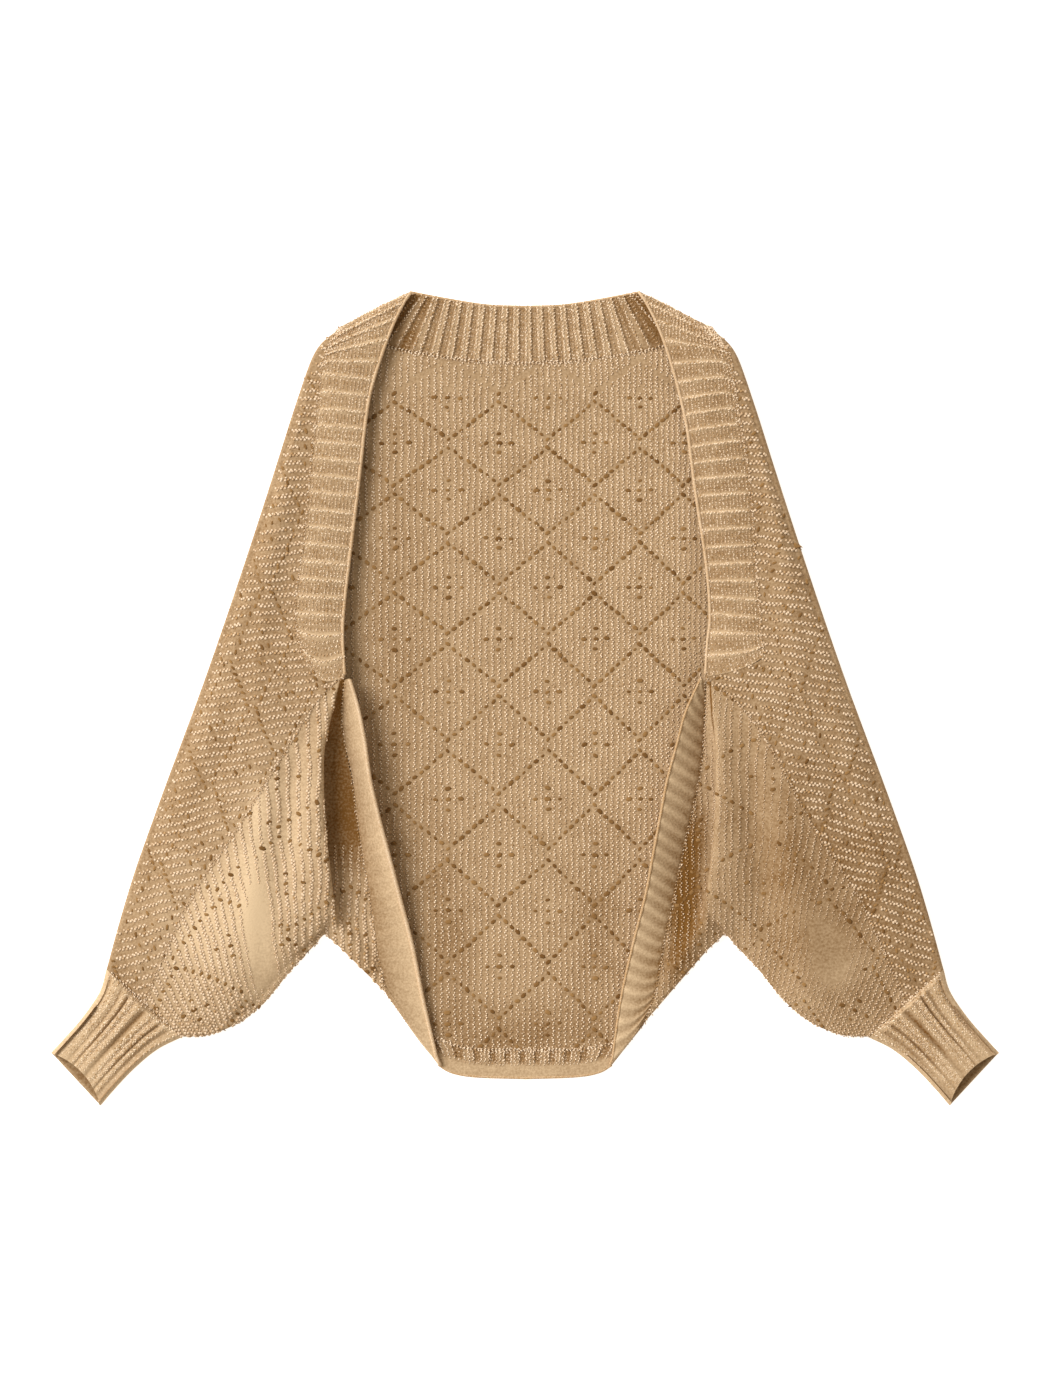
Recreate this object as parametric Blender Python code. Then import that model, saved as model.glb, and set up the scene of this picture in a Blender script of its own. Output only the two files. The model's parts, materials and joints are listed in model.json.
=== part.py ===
"""Knitted open-front shrug with batwing sleeves and a ribbed rim, laid flat on its back.

One wide panel makes the back and both sleeve sides. Its sides fold round the outer edge of each arm
and round the lower body edge, and meet on the front in a slanting sleeve seam. A ribbed band runs
round the whole opening: over the back neck, down both fronts, down both lower sides and along the
hem. Each sleeve ends in a ribbed cuff. Plan places are "out" from the centre line and "up" the
cloth, both in millimetres, and the cloth lies on z = 0.
"""

import bpy
import numpy as np

TO_METRES = 0.001

# Driving sizes, in millimetres.
WALL = 3.0  # thickness of the knitted fabric
SEAM_GAP = 0.3  # clearance between neighbouring pieces
ARM_FOLD_RADIUS = 5.5  # outer radius of the cloth folded round the arm's outer edge
BODY_FOLD_RADIUS = 4.2  # outer radius of the cloth folded round the lower body edge
CROWN_HEIGHT = 25.0  # how high the loose top layer of a sleeve stands in its middle
CUFF_SEAM_HEIGHT = 16.0  # how high the sleeve is where the cuff is sewn on
CUFF_END_HEIGHT = 14.0
EDGE_REACH = 20.0  # how far in from a fold the top layer takes to reach its full height
CURL_FOOT = 3.4  # height at which a folded band end stops above the back layer
RIB_HEIGHT = 1.3
CUFF_SETBACK = 5.0  # how far the cuff's upper layer stops short of its lower layer

BAND_RIBS = {"neck": 20, "front": 21, "side": 26, "hem": 12}
CUFF_RIBS = 9
RIB_SHARE = {"neck": 0.55, "front": 0.42, "side": 0.5, "hem": 0.55, "cuff": 0.62}

# Outline, the same on both sides. Each table is one smooth curve through its rows.
ARM_FOLD = {  # from the shoulder to the cuff seam
    "out": (166.5, 186, 197, 208, 235.5, 264, 294, 326, 356.5, 378),
    "up": (336, 319.5, 298, 265.5, 179, 92.5, 6, -80, -166.5, -242.5),
}
BODY_EDGE = {  # from the hem corner up to the underarm
    "out": (78, 94.5, 112.5, 130.5, 155, 180),
    "up": (-330.5, -311, -286, -260, -236.5, -213.5),
}
UNDERARM_FOLD = {  # from the underarm to the cuff seam
    "out": (180, 209, 232, 255.5, 283.5, 308.5),
    "up": (-213.5, -244, -272, -291.5, -303.5, -305.5),
}
NECK_EDGE = {"out": (0, 35, 70, 103.5), "up": (354, 355.5, 361, 367.5)}
NECK_SEAM = {"out": (0, 40, 75, 100, 124, 166.5), "up": (302, 303.5, 307.5, 312, 317, 336)}
HEM_SEAM_UP = -316.0
HEM_EDGE = {"out": (0, 45, 66, 78), "up": (-342, -340.5, -337, -330.5)}
CUFF = {  # outer and inner side of the flattened cuff, from its seam to its open end
    "outer_out": (378, 384, 399.5, 416, 428),
    "outer_up": (-242.5, -263, -286, -305, -318),
    "inner_out": (308.5, 331, 352, 370, 382),
    "inner_up": (-305.5, -317, -334.5, -353.5, -367.5),
}

# Rim, where left and right lie a little differently. Each row is one rib's line across the band.
FRONT_BAND = {
    "left": {
        "seam_out": (166.5, 177.5, 183, 187, 193.5, 199, 206.5, 205, 200.5),
        "seam_up": (336, 317, 300.5, 265.5, 201.5, 143, 89, 60.5, 42),
        "edge_out": (103.5, 119, 134, 142, 149.5, 156.5, 162.5, 164, 162),
        "edge_up": (367.5, 336.5, 294.5, 261, 197, 138.5, 86.5, 56, 20),
    },
    "right": {
        "seam_out": (166.5, 178, 185, 192.5, 202.5, 207, 211.5, 212.5, 215),
        "seam_up": (336, 320, 305, 255.5, 193.5, 125, 71, 53, 38.5),
        "edge_out": (103.5, 119.5, 133, 145.5, 153, 163, 166.5, 164, 162),
        "edge_up": (367.5, 336.5, 298, 246.5, 190, 123, 75.5, 51, 20),
    },
}
FRONT_BAND_HEIGHT = {
    "seam": (14, 14.5, 15, 15, 15, 16, 18, 19.5, 21),
    "edge": (13, 13.5, 14, 14.5, 15, 15.5, 17, 19, 22),
}
BAND_TAIL = {"left": 15.0, "right": 4.0}  # how far the front band's lower end bows down
SIDE_BAND = {
    "left": {
        "seam_out": (162.5, 165, 163, 156.5, 152, 146.5, 140.5, 135, 128.5, 125),
        "seam_up": (17, -12, -39, -68.5, -104.5, -142, -176.5, -221.5, -250, -267),
        "edge_out": (158.5, 151, 145, 140.5, 133, 123, 113.5, 102, 92, 78),
        "edge_up": (18, -8, -39.5, -72, -104.5, -142, -178, -221.5, -271, -330.5),
        "fold_out": (168.5, 173, 177.5, 178.5, 178, 174.5, 171.5, 170, 173, 179),
        "fold_up": (13, -12, -39, -68.5, -104.5, -138, -165, -185.5, -199, -207),
    },
    "right": {
        "seam_out": (162.5, 162, 161, 157.5, 150.5, 142, 135, 126, 118, 107),
        "seam_up": (17, -12, -41.5, -73, -104.5, -142, -176.5, -219.5, -264.5, -294),
        "edge_out": (158.5, 145, 137, 128.5, 122.5, 115.5, 109, 98, 86.5, 78),
        "edge_up": (18, -12, -41.5, -73, -104.5, -142, -176.5, -219.5, -271, -330.5),
        "fold_out": (168.5, 169, 169.5, 169.5, 167.5, 165, 162, 160, 165, 179),
        "fold_up": (13, -12, -39, -68.5, -104.5, -140.5, -165, -186, -199, -207),
    },
}
SIDE_BAND_HEIGHT = {
    "left": {
        "seam": (21.5, 13, 9, 7.5, 7.5, 7.5, 7.5, 7.5, 7.7, 8),
        "edge": (24, 25, 26, 26.5, 26, 23, 18, 13, 10.5, 8.4),
    },
    "right": {
        "seam": (21.5, 15, 11, 9, 8, 7.5, 7.5, 7.5, 7.7, 8),
        "edge": (24, 24, 22.5, 21, 20, 19, 17, 14, 11, 8.4),
    },
}
FOLD_CREST = (22.5, 24, 26, 27, 27, 26.5, 25.5, 23, 17.5, 8.4)

SLEEVE_SEAM = {  # slanting seam on the front, from the rim corner to the cuff seam
    "left": {
        "out": (162, 182, 220.5, 256.5, 301.5, 343.25),
        "up": (20, 5, -55, -113.5, -181, -274),
    },
    "right": {
        "out": (162, 182, 213.5, 261, 301.5, 343.25),
        "up": (20, 5, -32.5, -118, -181, -274),
    },
}

# Section through the hollow, from the side band's seam out and up over the sleeve's fold.
HOLLOW = {
    "span": (0, 0.6, 1, 1, 1, 1, 1),  # share of the way from the seam to the fold
    "tuck": (0, 0, 5.5, 5.5, 1.4, 0, 0),  # millimetres that it goes in under the fold
    "round": (0, 0, 0, 0, 0, 1, 4.6),  # millimetres back from the fold's edge, on its round top
    "rise": (0, 0, 0.06, 0.36, 0.6, 0.82, 1),  # share of the fold's height
    "spread": (99, 18, 14.4, 10.8, 7.2, 3.6, 0),  # millimetres short of the edge where it lies flat
    "arm_fold": (0, 0.012, 0.024, 0.036, 0.048, 0.06, 0.075),
    "sleeve_seam": (0, 0.004, 0.008, 0.012, 0.016, 0.02, 0.03),
}
SLEEVE_ROWS = 13  # rows from the hollow's fold to the cuff seam

# Soft creases in a sleeve's top layer: a ridge from one place to the other, or a trough.
CREASES = {
    "left": {
        "from_out": (178, 196, 232, 262, 300, 225),
        "from_up": (0, -30, -60, -20, -110, 120),
        "to_out": (196, 232, 262, 330, 345, 262),
        "to_up": (-190, -250, -240, -200, -250, 0),
        "width": (11, 16, 20, 14, 12, 16),
        "height": (3.0, -3.5, 4.0, -3.0, 2.5, -2.5),
    },
    "right": {
        "from_out": (172, 192, 228, 258, 305, 232),
        "from_up": (0, -25, -70, -10, -120, 110),
        "to_out": (190, 226, 256, 325, 348, 268),
        "to_up": (-190, -248, -255, -190, -255, -10),
        "width": (11, 15, 22, 15, 12, 15),
        "height": (3.0, -3.0, 4.5, -3.5, 2.5, -2.0),
    },
}

CLOTH = {"color": (0.53, 0.36, 0.2, 1), "roughness": 0.95}
RIB_CLOTH = {"color": (0.5, 0.33, 0.18, 1), "roughness": 0.95}


# Curves and distances.


def smooth_curve(*columns, steps=12):
    """Dense points along a Catmull-Rom curve through the rows of the columns."""
    knots = np.column_stack(columns).astype(float)
    ends = np.vstack([2 * knots[0] - knots[1], knots, 2 * knots[-1] - knots[-2]])
    t = np.linspace(0, 1, steps, endpoint=False)[:, None]
    parts = []
    for before, start, end, after in zip(ends, ends[1:], ends[2:], ends[3:]):
        cubic = -before + 3 * start - 3 * end + after
        square = 2 * before - 5 * start + 4 * end - after
        parts.append(start + 0.5 * t * (end - before + t * (square + t * cubic)))
    return np.vstack(parts + [knots[-1:]])


def lengths(line):
    return np.concatenate([[0], np.cumsum(np.linalg.norm(np.diff(line[:, :2], axis=0), axis=1))])


def at_share(line, shares):
    """Points of a dense line at shares of its plan length."""
    along = lengths(line)
    wanted = np.asarray(shares, float) * along[-1]
    return np.column_stack([np.interp(wanted, along, line[:, k]) for k in range(line.shape[1])])


def nearest_on(line, points):
    """(distance, nearest point, travel to it) from each plan point to a polyline."""
    start, step = line[:-1, :2], np.diff(line[:, :2], axis=0)
    to_point = points[:, None, :2] - start[None]
    share = np.clip((to_point * step).sum(2) / np.maximum((step * step).sum(1), 1e-12), 0, 1)
    foot = start + share[..., None] * step
    gap = np.linalg.norm(points[:, None, :2] - foot, axis=2)
    rows, best = np.arange(len(points)), gap.argmin(axis=1)
    along = lengths(line)
    travel = along[best] + share[rows, best] * np.diff(along)[best]
    return gap[rows, best], foot[rows, best], travel


def beside(line, travel, inset):
    """(plan points, outward directions) this far along a fold's line and in from it, on its left."""
    heading = unit(np.gradient(line[:, :2], axis=0))
    columns = np.column_stack([line[:, :2], heading]).T
    found = np.column_stack([np.interp(travel, lengths(line), column) for column in columns])
    outward = unit(found[:, [3, 2]] * (1, -1))
    return found[:, :2] - outward * np.reshape(inset, (-1, 1)), outward


def unit(vectors):
    return vectors / np.maximum(np.linalg.norm(vectors, axis=-1, keepdims=True), 1e-9)


def ease(share):
    share = np.clip(share, 0, 1)
    return share * share * (3 - 2 * share)


def blend(first, second, share):
    return first + (second - first) * share


# Meshes.


def wall_object(name, outer, inner, look, ring=False):
    """A closed wall between two grids of points, indexed along and across. A ring closes across."""
    along, across = outer.shape[:2]
    count = along * across
    faces = []
    for i in range(along - 1):
        for k in range(across if ring else across - 1):
            a, b = i * across + k, i * across + (k + 1) % across
            faces.append((a, b, b + across, a + across))
            faces.append((a + count, a + across + count, b + across + count, b + count))
    for i in (0, along - 1):
        for k in range(across if ring else across - 1):
            a, b = i * across + k, i * across + (k + 1) % across
            side = (b, a, a + count, b + count)
            faces.append(side if i == 0 else side[::-1])
    if not ring:
        for i in range(along - 1):
            for k in (0, across - 1):
                a, b = i * across + k, (i + 1) * across + k
                side = (a, b, b + count, a + count)
                faces.append(side if k == 0 else side[::-1])
    return mesh_object(name, np.vstack([outer.reshape(-1, 3), inner.reshape(-1, 3)]), faces, look)


def mesh_object(name, points, faces, look):
    mesh = bpy.data.meshes.new(name)
    mesh.from_pydata((points * TO_METRES).tolist(), [], faces)
    mesh.validate()
    volume = 0.0
    for face in mesh.polygons:
        first, *rest = (mesh.vertices[v].co for v in face.vertices)
        volume += sum(first.dot(a.cross(b)) for a, b in zip(rest, rest[1:]))
    if volume < 0:
        mesh.flip_normals()
    mesh.shade_smooth()
    mesh.set_sharp_from_angle(angle=0.9)
    thing = bpy.data.objects.new(name, mesh)
    bpy.context.scene.collection.objects.link(thing)
    mesh.materials.append(cloth_material(name, look))
    return thing


def cloth_material(name, look):
    material = bpy.data.materials.new(name + "_knit")
    material.use_nodes = True
    shader = material.node_tree.nodes["Principled BSDF"]
    shader.inputs["Base Color"].default_value = look["color"]
    shader.inputs["Roughness"].default_value = look["roughness"]
    shader.inputs["Metallic"].default_value = 0
    return material


def place(points, side):
    """Turns out-and-up points into x and y for the left or the right side."""
    placed = np.array(points, float)
    placed[..., 0] *= -1 if side == "left" else 1
    return placed


def trim(outer, inner, edge, beside_it):
    """Pulls one edge of a wall half a seam gap towards the points beside it."""
    shift = unit(outer[beside_it] - outer[edge]) * SEAM_GAP / 2
    outer[edge] += shift
    inner[edge] += shift


# Shared lines of one side.


def top_height(distance, plateau, radius):
    """Height of a loose top layer this far in from its fold."""
    reach = 1 - np.exp(-np.maximum(distance - radius, 0) / EDGE_REACH)
    return 2 * radius + (plateau - 2 * radius) * reach


def fold_height(inset, radius, top=True):
    """(height, share of the normal that points outward, upward share) on a fold, at an inset."""
    bend = np.clip(1 - inset / radius, 0, 1)
    rise = np.sqrt(1 - bend * bend) * (1 if top else -1)
    return radius * (1 + rise), bend, rise


def round_fold(points, fold, radius):
    """(height, outward normal) of top points that bend round a fold's plan line."""
    distance, _, travel = nearest_on(fold, points)
    _, outward = beside(fold, travel, 0)
    height, bend, rise = fold_height(distance, radius)
    return height, np.column_stack([outward * bend[:, None], rise])


def share_at_inset(path, fold, inset):
    """Share of a plan path, from its end on the fold, where it is this far in from the fold."""
    shares = np.linspace(0, 1, 400)
    distance = nearest_on(fold, at_share(path, shares))[0]
    first = max(1, int(np.argmax(distance >= inset)))
    near = slice(first - 1, first + 1)
    return np.interp(inset, distance[near], shares[near])


def points_at_insets(path, fold, insets):
    """Points of a plan path, from its end on the fold, that are these far in from the fold."""
    return at_share(path, [share_at_inset(path, fold, inset) for inset in insets])


# Insets round a quarter of a fold, as shares of its radius.
FOLD_STEPS = np.array((0, 1 - np.sqrt(0.5), 1))


class Side:
    """The lines that the pieces of one side share."""

    def __init__(self, side):
        self.side = side
        self.arm = smooth_curve(ARM_FOLD["out"], ARM_FOLD["up"])
        self.underarm = smooth_curve(UNDERARM_FOLD["out"], UNDERARM_FOLD["up"])
        self.silhouette = np.vstack([self.arm, self.underarm[::-1]])
        self.sleeve_seam = smooth_curve(SLEEVE_SEAM[side]["out"], SLEEVE_SEAM[side]["up"])
        front, low = FRONT_BAND[side], SIDE_BAND[side]
        front_rows, low_rows = range(len(front["seam_out"])), range(len(low["seam_out"]))
        self.front_seam = smooth_curve(
            front["seam_out"], front["seam_up"], FRONT_BAND_HEIGHT["seam"], front_rows
        )
        self.front_edge = smooth_curve(
            front["edge_out"], front["edge_up"], FRONT_BAND_HEIGHT["edge"], front_rows
        )
        height = SIDE_BAND_HEIGHT[side]
        self.side_seam = smooth_curve(low["seam_out"], low["seam_up"], height["seam"], low_rows)
        self.side_edge = smooth_curve(low["edge_out"], low["edge_up"], height["edge"], low_rows)
        self.hollow_fold = smooth_curve(low["fold_out"], low["fold_up"], FOLD_CREST, low_rows)
        shoulder_end = np.array([[front["edge_out"][0], front["edge_up"][0]]])
        self.arm_fold = self.arm[::-1]  # from the cuff up, so that the sleeve is on its left
        self.outline = np.vstack([self.arm_fold, shoulder_end])
        self.body_edge = smooth_curve(BODY_EDGE["out"], BODY_EDGE["up"])
        corner = self.side_seam[-1:, :2]
        after = int(np.argmax(self.body_edge[:, 1] > corner[0, 1]))
        self.body_fold = np.vstack([corner, self.body_edge[after:]])
        self.low_fold = np.vstack([self.body_fold, self.underarm[1:]])


def at_rows(line, rows):
    """Points of a curve at row numbers, which its last column holds."""
    return np.column_stack([np.interp(rows, line[:, -1], line[:, k]) for k in range(3)])


# Ribbed bands.

ACROSS = np.array((0, 0.07, 0.5, 1))  # points across a band, from its seam to its free edge


def rib_places(ribs, share):
    """(places along a band from 0 to 1, height shares) of the feet and crests of its ribs."""
    step = np.arange(ribs)
    feet = np.concatenate([step, step + share / 2, step + share, [ribs]])
    lift = np.concatenate([0 * step, 0 * step + 1, 0 * step, [0]])
    order = feet.argsort()
    return feet[order] / ribs, lift[order]


def band_wall(name, base, normals, lift):
    """A band from its plain face, with ribs raised along its normals and its edges trimmed."""
    outer = base + normals * lift[..., None]
    inner = base - normals * WALL
    for edge, beside_it in ((np.s_[:, 0], np.s_[:, 1]), (0, 1), (-1, -2)):
        trim(outer, inner, edge, beside_it)
    return wall_object(name, outer, inner, RIB_CLOTH)


def straighten(grid, knots):
    """Makes the seam edge of a band straight between the knots that its neighbour shares."""
    for start, end in zip(knots, knots[1:]):
        share = np.linspace(0, 1, end - start + 1)[:, None]
        grid[start : end + 1, 0] = blend(grid[start, 0], grid[end, 0], share)


def in_seam_plane(normal, along):
    """A normal turned into the upright plane that runs along a seam."""
    heading = unit(along * (1, 1, 0))
    return unit(normal * (0, 0, 1) + heading * (normal @ heading))


def front_band(lines):
    """The band down one front. Returns the seam points and normals that the sleeve shares."""
    side, radius = lines.side, ARM_FOLD_RADIUS
    last = lines.front_seam[-1, -1]
    places, lift = rib_places(BAND_RIBS["front"], RIB_SHARE["front"])
    middle = blend(lines.front_seam, lines.front_edge, 0.5)
    rows = np.empty((len(places) + 3, len(ACROSS)))
    for k, across in enumerate(ACROSS):
        path = blend(lines.front_seam, lines.front_edge, across)
        insets = [share_at_inset(path, lines.outline, step * radius) for step in FOLD_STEPS]
        fold_rows = [at_share(path, [share])[0, -1] for share in insets]
        flat = at_share(middle, places)[:, -1]
        rows[:, k] = np.concatenate([[0], fold_rows[:2], flat + fold_rows[2] * (1 - places) ** 6])
    base = np.empty(rows.shape + (3,))
    normals = np.zeros_like(base)
    for k, across in enumerate(ACROSS):
        spot = blend(at_rows(lines.front_seam, rows[:, k]), at_rows(lines.front_edge, rows[:, k]), across)
        distance = nearest_on(lines.outline, spot)[0]
        plateau = spot[:, 2] + 1.5 * np.sin(np.pi * across)
        height, normal = round_fold(spot[:3], lines.outline, radius)
        spot[:, 2] = top_height(distance, plateau, radius)
        spot[1:3, 2], spot[0, 2] = height[1:3], blend(radius - 0.6, CURL_FOOT, min(1, 2 * across))
        bow = BAND_TAIL[side] * np.sin(np.pi * across**0.8)
        spot[:, 1] -= bow * ease((rows[:, k] / last - 0.8) / 0.2)
        base[:, k] = spot
        normals[:, k] = (0, 0, 1)
        normals[:3, k] = normal
    for k in (1, 2, 3):
        normals[k, 0] = in_seam_plane(normals[k, 0], base[1, 0] - base[3, 0])
    normals[0] = normals[1]
    base[0, 0, :2] = blend(base[1, 0, :2], base[1, 1, :2], 0.8)
    base[-1, 1] = blend(base[-1, 0], base[-1, 2], ACROSS[1] / ACROSS[2])
    lift = np.concatenate([[0, 0, 0], lift])[:, None] * RIB_HEIGHT * (ACROSS > 0)
    knots = [1, 2, 3] + list(range(3 + 6, len(base) - 3, 6)) + [len(base) - 1]
    straighten(base, knots)
    band_wall("front_band_" + side, place(base, side), place(normals, side), lift)
    return np.vstack([base[knots, 0], base[-1, 2:]]), np.vstack([normals[knots, 0], normals[-1, 2:]])


def side_band(lines):
    """The band down one lower side. Returns the seam points, normals and rows it shares."""
    side, radius = lines.side, BODY_FOLD_RADIUS
    last = lines.side_seam[-1, -1]
    places, lift = rib_places(BAND_RIBS["side"], RIB_SHARE["side"])
    middle = blend(lines.side_seam, lines.side_edge, 0.5)
    rows = np.empty((len(places) + 3, len(ACROSS)))
    for k, across in enumerate(ACROSS):
        path = blend(lines.side_seam, lines.side_edge, across)[::-1]
        insets = [share_at_inset(path, lines.body_edge, step * radius) for step in FOLD_STEPS]
        fold_rows = [at_share(path, [share])[0, -1] for share in insets]
        flat = at_share(middle, places)[:, -1]
        flat -= (last - fold_rows[2]) * places**6
        rows[:, k] = np.concatenate([flat, [fold_rows[1], last, last]])
    base = np.empty(rows.shape + (3,))
    for k, across in enumerate(ACROSS):
        spot = blend(at_rows(lines.side_seam, rows[:, k]), at_rows(lines.side_edge, rows[:, k]), across)
        base[:, k] = spot
    slope = unit(base[:, -1] - base[:, 0])
    along = unit(np.gradient(base[:, 0], axis=0))
    face = unit(np.cross(slope, along))
    face *= np.sign(face[:, 2:])
    seam_face = unit(face + (0, 0, 1))
    normals = np.empty_like(base)
    for k, across in enumerate(ACROSS):
        normals[:, k] = unit(blend(seam_face, face, min(1, across / 0.4)))
        base[-2:, k, :2] = nearest_on(lines.body_edge, base[-2:, k])[1]
        height, normal = round_fold(base[-4:, k], lines.body_edge, radius)
        base[-4:, k, 2], normals[-4:, k] = height, normal
        base[-1, k, 2] = CURL_FOOT
    for k in (-4, -3, -2):
        normals[k, 0] = in_seam_plane(normals[k, 0], base[-4, 0] - base[-2, 0])
    normals[-1] = normals[-2]
    lift = np.concatenate([lift, [0, 0, 0]])[:, None] * RIB_HEIGHT * (ACROSS > 0)
    flat_end = len(base) - 4
    knots = [0] + list(range(8, flat_end - 4, 8)) + [flat_end, flat_end + 1, flat_end + 2]
    straighten(base, knots)
    band_wall("side_band_" + side, place(base, side), place(normals, side), lift)
    return base[knots, 0], normals[knots, 0], rows[knots, 0]


# Sleeves.


def crease_height(points, side):
    """Height that the soft creases add at plan points."""
    total = np.zeros(len(points))
    table = CREASES[side]
    for row in range(len(table["width"])):
        start = np.array([table["from_out"][row], table["from_up"][row]], float)
        end = np.array([table["to_out"][row], table["to_up"][row]], float)
        distance, foot, _ = nearest_on(np.array([start, end]), points)
        along = np.linalg.norm(foot - start, axis=1) / np.linalg.norm(end - start)
        taper = np.sin(np.pi * np.clip(0.15 + 0.7 * along, 0, 1))
        total += table["height"][row] * taper * np.exp(-((distance / table["width"][row]) ** 2))
    return total


def patch(start, end, first, second, shares):
    """Plan points between two rows of points, led at both ends by a point of their side lines."""
    across = np.linspace(0, 1, len(start))[:, None]
    first_off = first - blend(start[0], end[0], shares[0])
    second_off = second - blend(start[-1], end[-1], shares[-1])
    return blend(start, end, shares[:, None]) + blend(first_off, second_off, across)


def fold_columns(line, travel, fade, radius, known, cuff_line, top):
    """Points and normals of the two columns beside a fold, for all rows, from its edge inward."""
    points, normals = [], []
    offsets = nearest_on(line, known)[2] - travel[0]
    for step, offset, first in zip(FOLD_STEPS[1:], offsets, known):
        plan, outward = beside(line, travel + offset * fade, step * radius)
        last_share = step * radius[-1] / lengths(cuff_line)[-1]
        plan[0], plan[-1] = first[:2], at_share(cuff_line, [last_share])[0]
        height, bend, rise = fold_height(step * radius, radius, top)
        points.append(np.column_stack([plan, height]))
        normals.append(np.column_stack([outward * bend[:, None], rise]))
    return points, normals


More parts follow.
